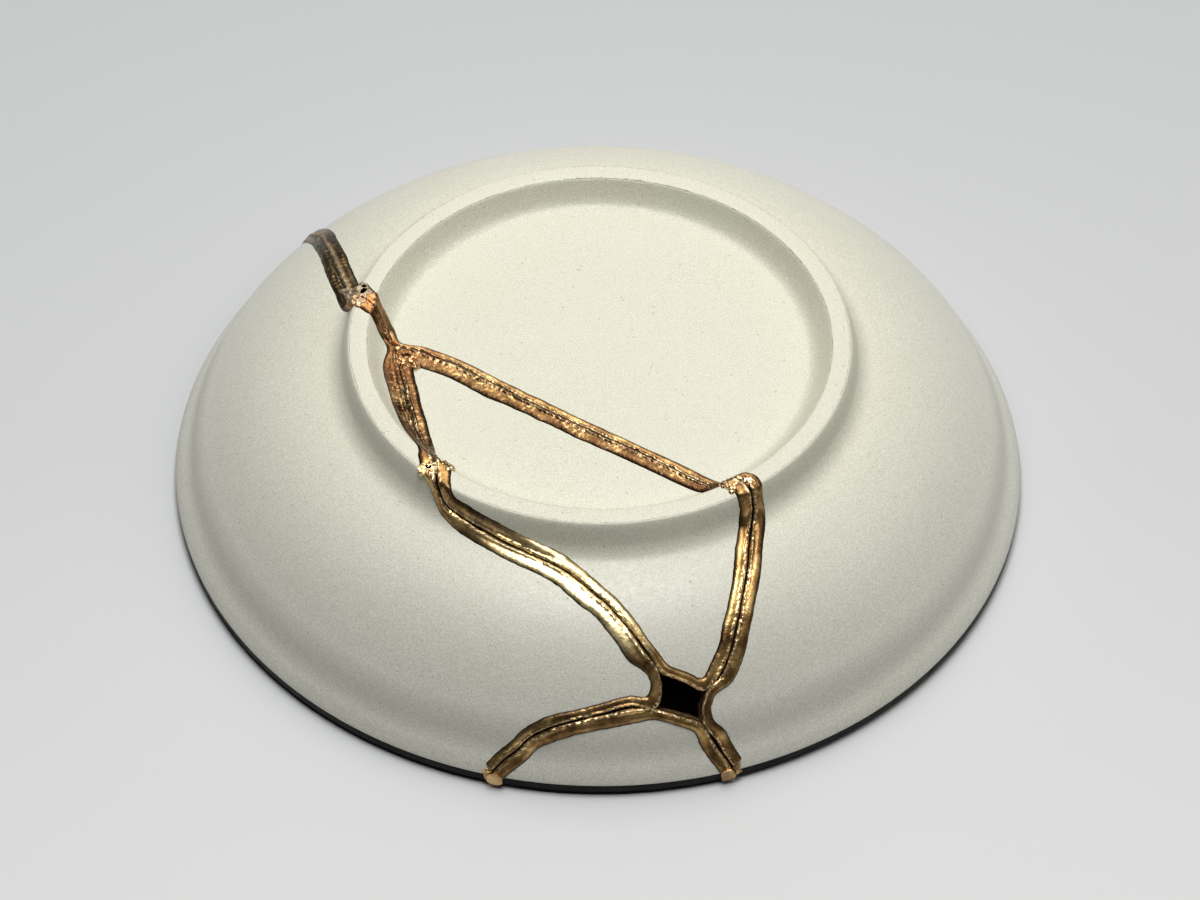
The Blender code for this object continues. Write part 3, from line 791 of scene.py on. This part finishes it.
def gold_ring(station, seed):
    """Points in metres of one cross-section of the gold, the collar first."""
    along, turn, radius, width, mitre = station
    base = wall_point(along, turn, False, 0.0)
    along += waves(base, ALONG_WAVES, 0.0)
    turn += waves(base, ROUND_WAVES, 0.0) / radius
    opened = groove_share(base)
    half_gap = GROOVE_HALF + waves(base, GROOVE_WAVES, seed)
    half_gap = max(GROOVE_LEAST + (half_gap - GROOVE_LEAST) * opened, GROOVE_LEAST)
    knob = 0.0
    for place, size in KNOBS:
        away = (base - Vector(place) * MM).length / MM
        knob += math.exp(-((away / size) ** 2))
    wide = width * (1.0 + waves(base, BORDER_WAVES, seed) + KNOB_WIDENS * knob)
    swell = 1.0 + waves(base, SWELL_WAVES, seed) + KNOB_SWELLS * knob
    gain = BEAD_GAIN + waves(base, BEAD_GAIN_WAVES, seed)
    gain = min(max(gain, BEAD_GAIN_LEAST), BEAD_GAIN_MOST)
    ring = []

    def add(inside, distance, lift):
        step = mitre * distance
        point = wall_point(along + step.x, turn + step.y / radius, inside, lift)
        point.z = max(point.z, LOWEST_GOLD * MM)
        over = point.z / MM - (CREST - CREST_SOFT)
        if over > 0.0:
            point.z = (CREST - CREST_SOFT * math.exp(-over / CREST_SOFT)) * MM
        ring.append(point)

    for share, height in COLLAR:
        distance = half_gap + share * wide
        step = mitre * distance
        place = wall_point(along + step.x, turn + step.y / radius, False, 0.0)
        bead = BEAD_HEIGHT * gain * bead_share(share)
        bead += (1.0 - opened) * RIDGE_HEIGHT * max(0.0, 1.0 - share / RIDGE_REACH) ** RIDGE_POWER
        add(False, distance, (height + bead) * swell + gold_lift(place, share, knob))
    add(False, half_gap + wide * WEB_START, -SUNK)
    add(False, WEB, -SUNK)
    for share, height in INNER_BAND:
        wave = INNER_WAVE * grain(base, INNER_WAVE_LENGTH, seed + share)
        add(True, INNER_WIDTH * share, height + wave)
    return ring


def tones(name, point, share):
    """Shares of darkening, ash and painted highlight: dark behind the foot ring, brown with painted shade on
    the disc, a painted highlight in front.
    """
    x, y = point.x / MM, point.y / MM
    radius = math.hypot(x, y)
    if y > 0.0 and x < 0.0 and radius > FOOT_INNER_RADIUS:
        smear = climb(radius, SMEAR_FROM, SMEAR_OVER)
        seam = climb(radius, SEAM_FROM, SEAM_OVER)
        streak = max(0.0, 1.0 - abs(share - STREAK_PLACE) / STREAK_SPREAD) if name == "main" else 0.0
        ash = smear * (1.0 - seam) + STREAK_SHARE * seam * streak
        return seam * (SEAM_DARKENING - STREAK_SHARE * streak), ash, 0.0
    # On the disc: painted shade
    if radius < FOOT_INNER_RADIUS:
        plain = DISC_PAINTED_SHADE_MAIN if name == "main" else DISC_PAINTED_SHADE
        return plain + waves(point, DISC_PAINTED_SHADE_WAVES, 0.0), 0.0, 0.0
    # On the wall in front: a painted highlight, with painted shade where it fades
    if x < PAINTED_HIGHLIGHT_RIGHT and y < PAINTED_HIGHLIGHT_NEAR and radius < PAINTED_HIGHLIGHT_UNTIL:
        painted_light = climb(x, PAINTED_HIGHLIGHT_FROM, PAINTED_HIGHLIGHT_OVER) * climb(PAINTED_HIGHLIGHT_UNTIL - radius, 0.0, PAINTED_HIGHLIGHT_FADE)
        darkening, painted_highlight = FRONT_PAINTED_LIGHT["left" if name == "left" else "middle"]
        return darkening * (1.0 - painted_light), 0.0, painted_highlight * painted_light
    if radius > PAINTED_HIGHLIGHT_UNTIL and x < LOW_DARKENING_RIGHT:
        return LOW_DARKENING_LEFT if name == "left" else LOW_DARKENING, 0.0, 0.0
    return PLAIN_DARKENING, 0.0, 0.0


def gold_loft(name, stations, closed, seed):
    """The gold edging along a route."""
    fine = smooth_stations(stations, closed)
    rings = [gold_ring(station, seed) for station in fine]
    shares = [share for share, _ in COLLAR] + [1.0, 0.0] + [0.5] * len(INNER_BAND)
    bm = bmesh.new()
    # Shares kept at each point for the material: place across the collar, darkening (painted shade on the
    # disc and in front), ash and painted highlight
    place_layer = bm.verts.layers.float.new("place")
    darkening_layer = bm.verts.layers.float.new("darkening")
    ash_layer = bm.verts.layers.float.new("ash")
    painted_highlight_layer = bm.verts.layers.float.new("painted_highlight")
    rows = []
    for ring in rings:
        row = []
        for point, share in zip(ring, shares):
            vertex = bm.verts.new(point)
            darkening, ash, painted_highlight = tones(name, point, share)
            first = 0.0 if groove_share(point) > GROOVE_OPEN else CLOSED_TONE_PLACE
            vertex[place_layer] = max(share, first)
            vertex[darkening_layer] = darkening
            vertex[ash_layer] = ash
            vertex[painted_highlight_layer] = painted_highlight
            row.append(vertex)
        rows.append(row)
    spans = len(rows) if closed else len(rows) - 1
    for index in range(spans):
        near = rows[index]
        far = rows[(index + 1) % len(rows)]
        for corner in range(len(near)):
            following = (corner + 1) % len(near)
            bm.faces.new((near[corner], near[following], far[following], far[corner]))
    if not closed:
        bm.faces.new(rows[0][::-1])
        bm.faces.new(rows[-1])
    for face in bm.faces:
        face.smooth = True
    return bm


def lobe(bm, end, before, side, seed):
    """Lump of gold over the lip, on one side of the end of a crack and in line with it."""
    tip, ahead = heading(end, before)
    reach = (RIM_RADIUS + LOBE_PROUD - tip.length) / ahead.dot(tip.normalized())
    near, far = GAP / 2, GAP / 2 + end[3]
    beside = Vector((-ahead.y, ahead.x, 0.0)) * side
    place_layer = bm.verts.layers.float["place"]
    ash_layer = bm.verts.layers.float["ash"]
    made = bmesh.ops.create_icosphere(bm, subdivisions=5, radius=1.0)
    for vertex in made["verts"]:
        co = vertex.co.copy()
        vertex[place_layer] = LOBE_TONE_PLACE
        vertex[ash_layer] = LOBE_ASH
        square = [math.copysign(abs(value) ** LOBE_SQUARE, value) for value in co]
        place = (
            tip
            + ahead * ((reach - LOBE_BACK) / 2 + square[0] * (reach + LOBE_BACK) / 2)
            + beside * ((near + far) / 2 + square[1] * (far - near) / 2)
        )
        place.z = (LOBE_LOW + LOBE_HIGH) / 2 + square[2] * (LOBE_HIGH - LOBE_LOW) / 2
        point = place * MM
        bump = waves(point, LOBE_WAVES, seed) - LOBE_SHRINK
        outward = (ahead * co.x + beside * co.y + Vector((0.0, 0.0, co.z))).normalized()
        vertex.co = point + outward * bump * MM
        vertex.co.z = max(vertex.co.z, LOWEST_GOLD * MM)
        reached = math.hypot(vertex.co.x, vertex.co.y) / MM
        if reached > LOBE_RADIUS:
            vertex.co.x *= LOBE_RADIUS / reached
            vertex.co.y *= LOBE_RADIUS / reached
        for face in vertex.link_faces:
            face.smooth = True


def nugget(bm, centre, size, ash, darkening):
    """Knobbly lump of gold of a size in millimetres."""
    seed = centre[0]
    place_layer = bm.verts.layers.float["place"]
    ash_layer = bm.verts.layers.float["ash"]
    darkening_layer = bm.verts.layers.float["darkening"]
    made = bmesh.ops.create_icosphere(bm, subdivisions=4, radius=1.0)
    for vertex in made["verts"]:
        way = vertex.co.normalized()
        point = (Vector(centre) + way * size) * MM
        swell = 1.0 + waves(point, LUMP_WAVES, seed)
        way.z *= LUMP_FLATNESS
        vertex.co = (Vector(centre) + way * size * swell) * MM
        vertex.co.z = min(vertex.co.z, CREST * MM)
        vertex[place_layer] = LUMP_TONE_PLACE
        vertex[ash_layer] = ash
        vertex[darkening_layer] = darkening
        for face in vertex.link_faces:
            face.smooth = True


def knot(bm, place, reach, count, size, ash, darkening):
    """Lumps of gold strewn on the plate round a place in plan."""
    for index in range(count):
        turn = index * GOLDEN_TURN
        away = reach * math.sqrt((index + 0.5) / count)
        x = place[0] + away * math.cos(turn)
        y = place[1] + away * math.sin(turn)
        lump = size * (LUMP_SIZE + LUMP_SIZE_CHANGE * math.cos(2.0 * turn))
        height = curve_height(OUTER_STATIONS, math.hypot(x, y))[0] - LUMP_SUNK * lump
        nugget(bm, (x, y, height), lump, ash, darkening)


def with_width(crack, widths):
    """Plan points of a crack with a collar width that changes evenly along them."""
    first, last = widths
    steps = len(crack) - 1
    return [(x, y, first + (last - first) * index / steps) for index, (x, y) in enumerate(crack)]


meeting = [(*FOOT_MEETING, MEETING_WIDTH)]
crossing = [(*FOOT_CROSSING, CROSSING_WIDTH)]
hole_top_left = [(*HOLE_TOP_LEFT, HOLE_WIDTH)]
hole_top_right = [(*HOLE_TOP_RIGHT, HOLE_WIDTH)]
hole_low_right = [(*HOLE_LOW_RIGHT, HOLE_WIDTH)]
hole_low_left = [(*HOLE_LOW_LEFT, HOLE_WIDTH)]


def left_seam(name):
    """The three cracks from the meeting of the seams down to the chip, with a shard's collar widths."""
    return (
        with_width(LEFT_CRACK, LEFT_WIDTHS[name])
        + with_width(LEFT_NECK, NECK_WIDTHS[name])
        + with_width(LEFT_LOWER_CRACK, LEFT_LOWER_WIDTHS[name])
    )


def right_seam(name):
    """The cracks from the meeting over the disc and the foot ring to the chip, with collar widths."""
    return (
        with_width(DISC_CRACK, DISC_WIDTHS[name])
        + crossing
        + with_width(RIGHT_CRACK, RIGHT_WIDTHS[name])
        + hole_top_right
    )


round_main = (
    with_width(REAR_CRACK, REAR_WIDTHS["main"])
    + meeting
    + right_seam("main")
    + hole_low_right
    + with_width(LOW_RIGHT_CRACK, LOW_RIGHT_WIDTHS["main"])
)
round_left = (
    with_width(REAR_CRACK, REAR_WIDTHS["left"])
    + meeting
    + left_seam("left")
    + hole_top_left
    + hole_low_left
    + with_width(LOW_LEFT_CRACK, LOW_LEFT_WIDTHS["left"])
)
round_middle = meeting + right_seam("middle") + hole_top_left + left_seam("middle")[::-1]
round_rim = (
    with_width(LOW_LEFT_CRACK, LOW_LEFT_WIDTHS["rim"])[::-1]
    + hole_low_left
    + hole_low_right
    + with_width(LOW_RIGHT_CRACK, LOW_RIGHT_WIDTHS["rim"])
)

# Name of each shard, its broken edge, whether the edge closes on itself, the side on which the shard lies
SHARDS = (
    ("main", round_main, False, 1.0),
    ("left", round_left, False, -1.0),
    ("middle", round_middle, True, -1.0),
    ("rim", round_rim, False, -1.0),
)


class Nodes:
    """Short calls for building a material."""

    def __init__(self, name):
        self.material = bpy.data.materials.new(name)
        self.material.use_nodes = True
        self.tree = self.material.node_tree
        self.shader = self.tree.nodes["Principled BSDF"]
        self.coordinates = self.tree.nodes.new("ShaderNodeTexCoord").outputs["Object"]

    def link(self, source, target):
        self.tree.links.new(source, target)

    def noise(self, scale, detail=2.0, roughness=0.5):
        node = self.tree.nodes.new("ShaderNodeTexNoise")
        node.inputs["Scale"].default_value = scale
        node.inputs["Detail"].default_value = detail
        node.inputs["Roughness"].default_value = roughness
        self.link(self.coordinates, node.inputs["Vector"])
        return node.outputs["Fac"]

    def ramp(self, source, stops):
        node = self.tree.nodes.new("ShaderNodeValToRGB")
        elements = node.color_ramp.elements
        while len(elements) < len(stops):
            elements.new(0.5)
        for element, (position, colour) in zip(elements, stops):
            element.position = position
            element.color = (*colour, 1.0) if isinstance(colour, tuple) else (colour, colour, colour, 1.0)
        self.link(source, node.inputs["Fac"])
        return node.outputs["Color"]

    def maths(self, operation, *values):
        node = self.tree.nodes.new("ShaderNodeMath")
        node.operation = operation
        for socket, value in zip(node.inputs, values):
            if isinstance(value, (int, float)):
                socket.default_value = value
            else:
                self.link(value, socket)
        return node.outputs["Value"]

    def times(self, first, second):
        return self.maths("MULTIPLY", first, second)

    def plus(self, first, second):
        return self.maths("ADD", first, second)

    def minus(self, first, second):
        return self.maths("SUBTRACT", first, second)

    def larger(self, first, second):
        return self.maths("MAXIMUM", first, second)

    def patches(self, scale, detail, roughness, stops):
        return self.ramp(self.noise(scale, detail, roughness), stops)

    def tint(self, first, second):
        return self.mix("MULTIPLY", 1.0, first, second)

    def mix(self, kind, factor, first, second):
        node = self.tree.nodes.new("ShaderNodeMix")
        node.data_type = "RGBA"
        node.blend_type = kind
        for socket, value in ((node.inputs[0], factor), (node.inputs[6], first), (node.inputs[7], second)):
            if isinstance(value, (int, float)):
                socket.default_value = value
            elif isinstance(value, tuple):
                socket.default_value = (*value, 1.0)
            else:
                self.link(value, socket)
        return node.outputs[2]

    def bump(self, height, strength, distance, normal=None):
        node = self.tree.nodes.new("ShaderNodeBump")
        node.inputs["Strength"].default_value = strength
        node.inputs["Distance"].default_value = distance
        self.link(height, node.inputs["Height"])
        if normal is not None:
            self.link(normal, node.inputs["Normal"])
        return node.outputs["Normal"]

    def attribute(self, name):
        """Number kept at each point of the mesh."""
        node = self.tree.nodes.new("ShaderNodeAttribute")
        node.attribute_name = name
        return node.outputs["Fac"]

    def from_axis(self):
        """Distance from the axis of the plate and height, in metres."""
        parts = self.tree.nodes.new("ShaderNodeSeparateXYZ")
        self.link(self.coordinates, parts.inputs["Vector"])
        x, y = parts.outputs["X"], parts.outputs["Y"]
        square = self.plus(self.times(x, x), self.times(y, y))
        return self.maths("SQRT", square), parts.outputs["Z"]

    def near(self, place, size):
        """Mask that is 1 at a place and fades to 0 at a distance, both in metres."""
        node = self.tree.nodes.new("ShaderNodeVectorMath")
        node.operation = "DISTANCE"
        self.link(self.coordinates, node.inputs[0])
        node.inputs[1].default_value = place
        share = self.maths("DIVIDE", node.outputs["Value"], size)
        return self.larger(self.minus(1.0, share), 0.0)


CREAM = (0.744, 0.736, 0.655)
# Pits along the edges of the foot ring: radius and reach of each band, and the height above which they lie
PIT_BANDS = ((FOOT_OUTER_RADIUS + 0.1, 0.75), (FOOT_INNER_RADIUS - 0.5, 0.95))
PITS_ABOVE = 44.5
# The coppery knot where three seams meet, in metres
COPPER_PLACE = (-0.0535, 0.004, 0.043)
COPPER_REACH = 0.021


def stoneware():
    """Satin cream glaze with sandy grain, cooled towards the rim by a painted reflection; the edges of the
    foot ring are worn and pitted.
    """
    nodes = Nodes("cream_stoneware")
    fine = nodes.patches(2700.0, 1.0, 0.6, ((0.36, (0.80, 0.79, 0.765)), (0.64, (1.0, 1.0, 1.0))))
    coarse = nodes.patches(600.0, 3.0, 0.6, ((0.35, (0.965, 0.962, 0.950)), (0.7, (1.0, 1.0, 1.0))))
    blotch = nodes.patches(26.0, 3.0, 0.5, ((0.3, (0.985, 0.985, 0.965)), (0.7, (1.0, 1.0, 1.0))))
    colour = nodes.tint(CREAM, fine)
    colour = nodes.tint(colour, coarse)
    colour = nodes.tint(colour, blotch)
    specks = nodes.tree.nodes.new("ShaderNodeTexVoronoi")
    specks.inputs["Scale"].default_value = 520.0
    specks.inputs["Randomness"].default_value = 1.0
    nodes.link(nodes.coordinates, specks.inputs["Vector"])
    rare = nodes.maths("GREATER_THAN", nodes.noise(260.0, 0.0), 0.62)
    dot = nodes.ramp(specks.outputs["Distance"], ((0.06, 1.0), (0.16, 0.0)))
    dot = nodes.times(dot, rare)
    colour = nodes.mix("MIX", nodes.times(dot, 0.34), colour, (0.36, 0.27, 0.17))
    radius, height = nodes.from_axis()
    # Painted reflection: the glaze is warmer on the disc and cooler towards the rim, standing in for the
    # bluish surroundings that the steep walls reflect
    warm, cool = (1.0, 1.0, 0.945), (0.975, 0.985, 1.0)
    cool_rim_reflection = nodes.ramp(nodes.times(radius, 8.0), ((0.5, warm), (0.8, cool)))
    colour = nodes.tint(colour, cool_rim_reflection)
    wear = nodes.noise(620.0, 3.0, 0.65)
    patches = nodes.noise(75.0, 2.0, 0.5)
    pits = []
    for place, reach in PIT_BANDS:
        away = nodes.maths("ABSOLUTE", nodes.minus(radius, place * MM))
        band = nodes.larger(nodes.minus(1.0, nodes.maths("DIVIDE", away, reach * MM)), 0.0)
        pits.append(nodes.times(band, nodes.plus(wear, nodes.times(patches, 0.6))))
    pitted = nodes.times(nodes.larger(*pits), nodes.maths("GREATER_THAN", height, PITS_ABOVE * MM))
    wear_and_shade = nodes.ramp(pitted, ((0.66, 0.0), (0.92, 1.0)))
    colour = nodes.mix("MIX", nodes.times(wear_and_shade, 0.4), colour, (0.36, 0.275, 0.18))
    nodes.link(colour, nodes.shader.inputs["Base Color"])
    rough = nodes.patches(700.0, 2.0, 0.6, ((0.3, 0.36), (0.7, 0.5)))
    nodes.link(rough, nodes.shader.inputs["Roughness"])
    nodes.shader.inputs["Specular IOR Level"].default_value = 0.5
    sandy = nodes.bump(nodes.noise(1300.0, 3.0, 0.65), 0.25, 0.0002)
    holes = nodes.bump(nodes.minus(1.0, nodes.plus(wear_and_shade, dot)), 0.5, 0.0003, sandy)
    nodes.link(holes, nodes.shader.inputs["Normal"])
    return nodes.material


def dark_glaze():
    """Near-black glossy glaze of the inside and the edge of the lip."""
    nodes = Nodes("dark_glaze")
    colour = nodes.patches(90.0, 4.0, 0.6, ((0.3, (0.002, 0.002, 0.002)), (0.75, (0.008, 0.007, 0.006))))
    nodes.link(colour, nodes.shader.inputs["Base Color"])
    rough = nodes.patches(220.0, 3.0, 0.5, ((0.3, 0.42), (0.7, 0.58)))
    nodes.link(rough, nodes.shader.inputs["Roughness"])
    nodes.shader.inputs["Specular IOR Level"].default_value = 0.12
    nodes.link(nodes.bump(nodes.noise(160.0, 3.0, 0.5), 0.15, 0.0004), nodes.shader.inputs["Normal"])
    return nodes.material


def gold():
    """Satin old gold: brown passages, a ragged bead with painted glints, painted shade in the open groove and
    across each collar, dark borders, a painted highlight in front, a coppery knot.
    """
    nodes = Nodes("raised_gold")
    place = nodes.attribute("place")
    colour = nodes.ramp(
        nodes.noise(150.0, 3.0, 0.6),
        ((0.34, (0.17, 0.08, 0.025)), (0.5, (0.48, 0.275, 0.092)), (0.64, (0.88, 0.58, 0.24))),
    )
    grains = nodes.noise(1300.0, 2.0, 0.6)
    bead = nodes.ramp(place, ((0.07, 0.0), (0.13, 1.0), (0.2, 1.0), (0.3, 0.0)))
    # Painted glints and painted shade: grains of the bead are made pale or near-black in colour, as lit and
    # shaded grains
    painted_glints = nodes.times(bead, nodes.ramp(grains, ((0.42, 0.0), (0.58, 1.0))))
    painted_grain_shade = nodes.times(bead, nodes.ramp(grains, ((0.38, 1.0), (0.5, 0.0))))
    colour = nodes.mix("MIX", nodes.times(painted_glints, 0.8), colour, (1.0, 0.83, 0.52))
    colour = nodes.mix("MIX", nodes.times(painted_grain_shade, 0.7), colour, (0.13, 0.065, 0.022))
    copper = nodes.near(COPPER_PLACE, COPPER_REACH)
    patches = nodes.patches(400.0, 3.0, 0.6, ((0.4, 0.1), (0.6, 1.0)))
    copper = nodes.times(nodes.ramp(copper, ((0.0, 0.0), (0.45, 1.0))), patches)
    colour = nodes.mix("MIX", copper, colour, (0.52, 0.22, 0.075))
    # Painted shading: each collar is darker at the groove and at its border and lighter between, as a lit
    # round pipe
    painted_pipe_shading = nodes.ramp(place, ((0.03, 0.45), (0.14, 1.0), (0.6, 0.9), (0.88, 0.35)))
    colour = nodes.tint(colour, painted_pipe_shading)
    ash = nodes.attribute("ash")
    # Painted highlight: pale gold on the front wall, standing in for a bright reflection
    painted_highlight = nodes.times(nodes.attribute("painted_highlight"), nodes.patches(260.0, 3.0, 0.6, ((0.32, 0.25), (0.52, 1.0))))
    colour = nodes.mix("MIX", painted_highlight, colour, (1.0, 0.82, 0.44))
    grey = nodes.times(ash, nodes.patches(500.0, 3.0, 0.6, ((0.3, 0.45), (0.6, 1.0))))
    colour = nodes.mix("MIX", grey, colour, (0.33, 0.285, 0.215))
    # Darkening by the share kept at each point: painted shade on the disc and on the front wall, a darker
    # seam behind the foot ring, a little elsewhere
    specks = nodes.times(nodes.patches(900.0, 1.0, 0.5, ((0.54, 0.0), (0.62, 1.0))), 0.85)
    darkening = nodes.times(nodes.attribute("darkening"), nodes.minus(1.0, specks))
    radius, _ = nodes.from_axis()
    outside = nodes.maths("GREATER_THAN", radius, FOOT_OUTER_RADIUS * MM)
    darkening_colour = nodes.mix("MIX", outside, (0.080, 0.034, 0.011), (0.055, 0.044, 0.024))
    colour = nodes.mix("MIX", darkening, colour, darkening_colour)
    # Painted shade: near-black in the open groove between the collars; the same near-black also runs along
    # each collar's border
    ragged = nodes.times(nodes.minus(nodes.noise(700.0, 2.0, 0.6), 0.5), 0.14)
    wear_and_shade = nodes.plus(place, ragged)
    edge = nodes.ramp(wear_and_shade, ((0.0, 1.0), (0.02, 1.0), (0.055, 0.0), (0.85, 0.0), (0.95, 1.0)))
    colour = nodes.mix("MIX", nodes.times(edge, 0.93), colour, (0.022, 0.012, 0.006))
    nodes.link(colour, nodes.shader.inputs["Base Color"])
    nodes.shader.inputs["Metallic"].default_value = 0.8
    rough = nodes.patches(320.0, 3.0, 0.6, ((0.3, 0.22), (0.7, 0.42)))
    rough = nodes.plus(rough, nodes.times(ash, 0.3))
    nodes.link(rough, nodes.shader.inputs["Roughness"])
    ripples = nodes.bump(nodes.noise(800.0, 3.0, 0.6), 0.4, 0.0003)
    lumps = nodes.bump(nodes.noise(2600.0, 2.0, 0.5), 0.25, 0.0001, ripples)
    nodes.link(lumps, nodes.shader.inputs["Normal"])
    return nodes.material


stone_material = stoneware()
glaze_material = dark_glaze()
gold_material = gold()

plate = whole_plate()
plate.data.materials.append(stone_material)
plate.data.materials.append(glaze_material)
for number, (name, route, closed, side) in enumerate(SHARDS):
    stations = stations_along(spaced(route, closed), closed, side)
    cover = region(name + "_cover", stations, closed, side)
    stone = cut_shard(name + "_stone", plate, cover)
    bpy.data.objects.remove(cover)
    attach(stone, "root")
    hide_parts(name + "_shard")
    bm = gold_loft(name, stations, closed, 0.9 + number)
    if not closed:
        lobe(bm, stations[0], stations[1], -side, 1.7 + number)
        lobe(bm, stations[-1], stations[-2], side, 2.9 + number)
    for carrier, place, reach, count, size, ash, darkening in KNOTS:
        if carrier == name:
            knot(bm, place, reach, count, size, ash, darkening)
    edging = finished(name + "_gold", bm)
    edging.data.materials.append(gold_material)
    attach(edging, "root")
    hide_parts(name + "_gold_edge")
bpy.data.objects.remove(plate)


def area_light(name, place, target, size, power, colour):
    """Square softbox at a place that faces a target."""
    data = bpy.data.lights.new(name, "AREA")
    data.shape = "RECTANGLE"
    data.size, data.size_y = size
    data.energy = power
    data.color = colour
    made = bpy.data.objects.new(name, data)
    made.location = place
    way = Vector(target) - Vector(place)
    made.rotation_euler = way.to_track_quat("-Z", "Y").to_euler()
    bpy.context.scene.collection.objects.link(made)


# The floor, the light and the camera
floor_mesh = bpy.data.meshes.new("floor")
FLOOR_SPAN = 4.0
corners = [(x * FLOOR_SPAN, y * FLOOR_SPAN, 0) for x, y in ((-1, -1), (1, -1), (1, 1), (-1, 1))]
floor_mesh.from_pydata(corners, [], [(0, 1, 2, 3)])
floor = bpy.data.objects.new("floor", floor_mesh)
floor.location.z = -0.0001
bpy.context.scene.collection.objects.link(floor)
floor_nodes = Nodes("pale_floor")
parts = floor_nodes.tree.nodes.new("ShaderNodeSeparateXYZ")
floor_nodes.link(floor_nodes.coordinates, parts.inputs["Vector"])
depth = floor_nodes.plus(parts.outputs["Y"], 0.5)
# Painted light: the floor is lighter in front and darker towards the back, standing in for the fall of the
# light across it
FLOOR_PAINTED_LIGHT = ((0.25, (0.76, 0.765, 0.765)), (0.5, (0.58, 0.59, 0.595)), (0.95, (0.41, 0.43, 0.44)))
painted_light = floor_nodes.ramp(depth, FLOOR_PAINTED_LIGHT)
floor_nodes.link(painted_light, floor_nodes.shader.inputs["Base Color"])
floor_nodes.shader.inputs["Roughness"].default_value = 0.9
floor_nodes.shader.inputs["Specular IOR Level"].default_value = 0.1
floor_mesh.materials.append(floor_nodes.material)

WORLD_STRENGTH = 0.012
world = bpy.data.worlds.new("studio")
bpy.context.scene.world = world
world.use_nodes = True
world.node_tree.nodes["Background"].inputs["Color"].default_value = (0.9, 0.95, 1.0, 1.0)
world.node_tree.nodes["Background"].inputs["Strength"].default_value = WORLD_STRENGTH

LIGHTS = (
    ("overhead", (0.0, 0.0, 1.3), (0.6, 0.6), 13.0, (0.995, 0.995, 1.0)),
    ("behind", (0.0, 0.65, 1.13), (0.6, 0.6), 5.4, (1.0, 0.98, 0.94)),
    ("behind_low", (0.0, 1.06, 0.75), (0.6, 0.6), 1.8, (1.0, 0.98, 0.94)),
    ("right", (0.92, 0.0, 0.92), (0.6, 0.6), 1.9, (1.0, 0.98, 0.9)),
)
for light_name, place, size, power, colour in LIGHTS:
    area_light(light_name, place, (0.0, 0.0, 0.0), size, power, colour)

CAMERA_RISE = 0.821559
CAMERA_ROLL = 0.01283
CAMERA_DISTANCE = 8.94 * RIM_RADIUS * MM
FOCAL_PIXELS = 3763.8
SENSOR_WIDTH = 36.0
FRAME_WIDTH, FRAME_HEIGHT = 1200, 900
CENTRE_X, CENTRE_Y = 598.33, 452.38
target = Vector((0.0, 0.0, LIP_EDGE_HEIGHT * MM))
back = Vector((0.0, -math.cos(CAMERA_RISE), math.sin(CAMERA_RISE)))
camera_data = bpy.data.cameras.new("camera")
camera_data.sensor_width = SENSOR_WIDTH
camera_data.lens = FOCAL_PIXELS / FRAME_WIDTH * SENSOR_WIDTH
camera_data.shift_x = (FRAME_WIDTH / 2 - CENTRE_X) / FRAME_WIDTH
camera_data.shift_y = (CENTRE_Y - FRAME_HEIGHT / 2) / FRAME_WIDTH
camera = bpy.data.objects.new("camera", camera_data)
across = Vector((1.0, 0.0, 0.0))
up = back.cross(across)
rolled_across = across * math.cos(CAMERA_ROLL) + up * math.sin(CAMERA_ROLL)
rolled_up = up * math.cos(CAMERA_ROLL) - across * math.sin(CAMERA_ROLL)
turned = Matrix((rolled_across, rolled_up, back)).transposed().to_4x4()
camera.matrix_world = Matrix.Translation(target + back * CAMERA_DISTANCE) @ turned
bpy.context.scene.collection.objects.link(camera)
bpy.context.scene.camera = camera
bpy.context.scene.view_settings.view_transform = "Standard"
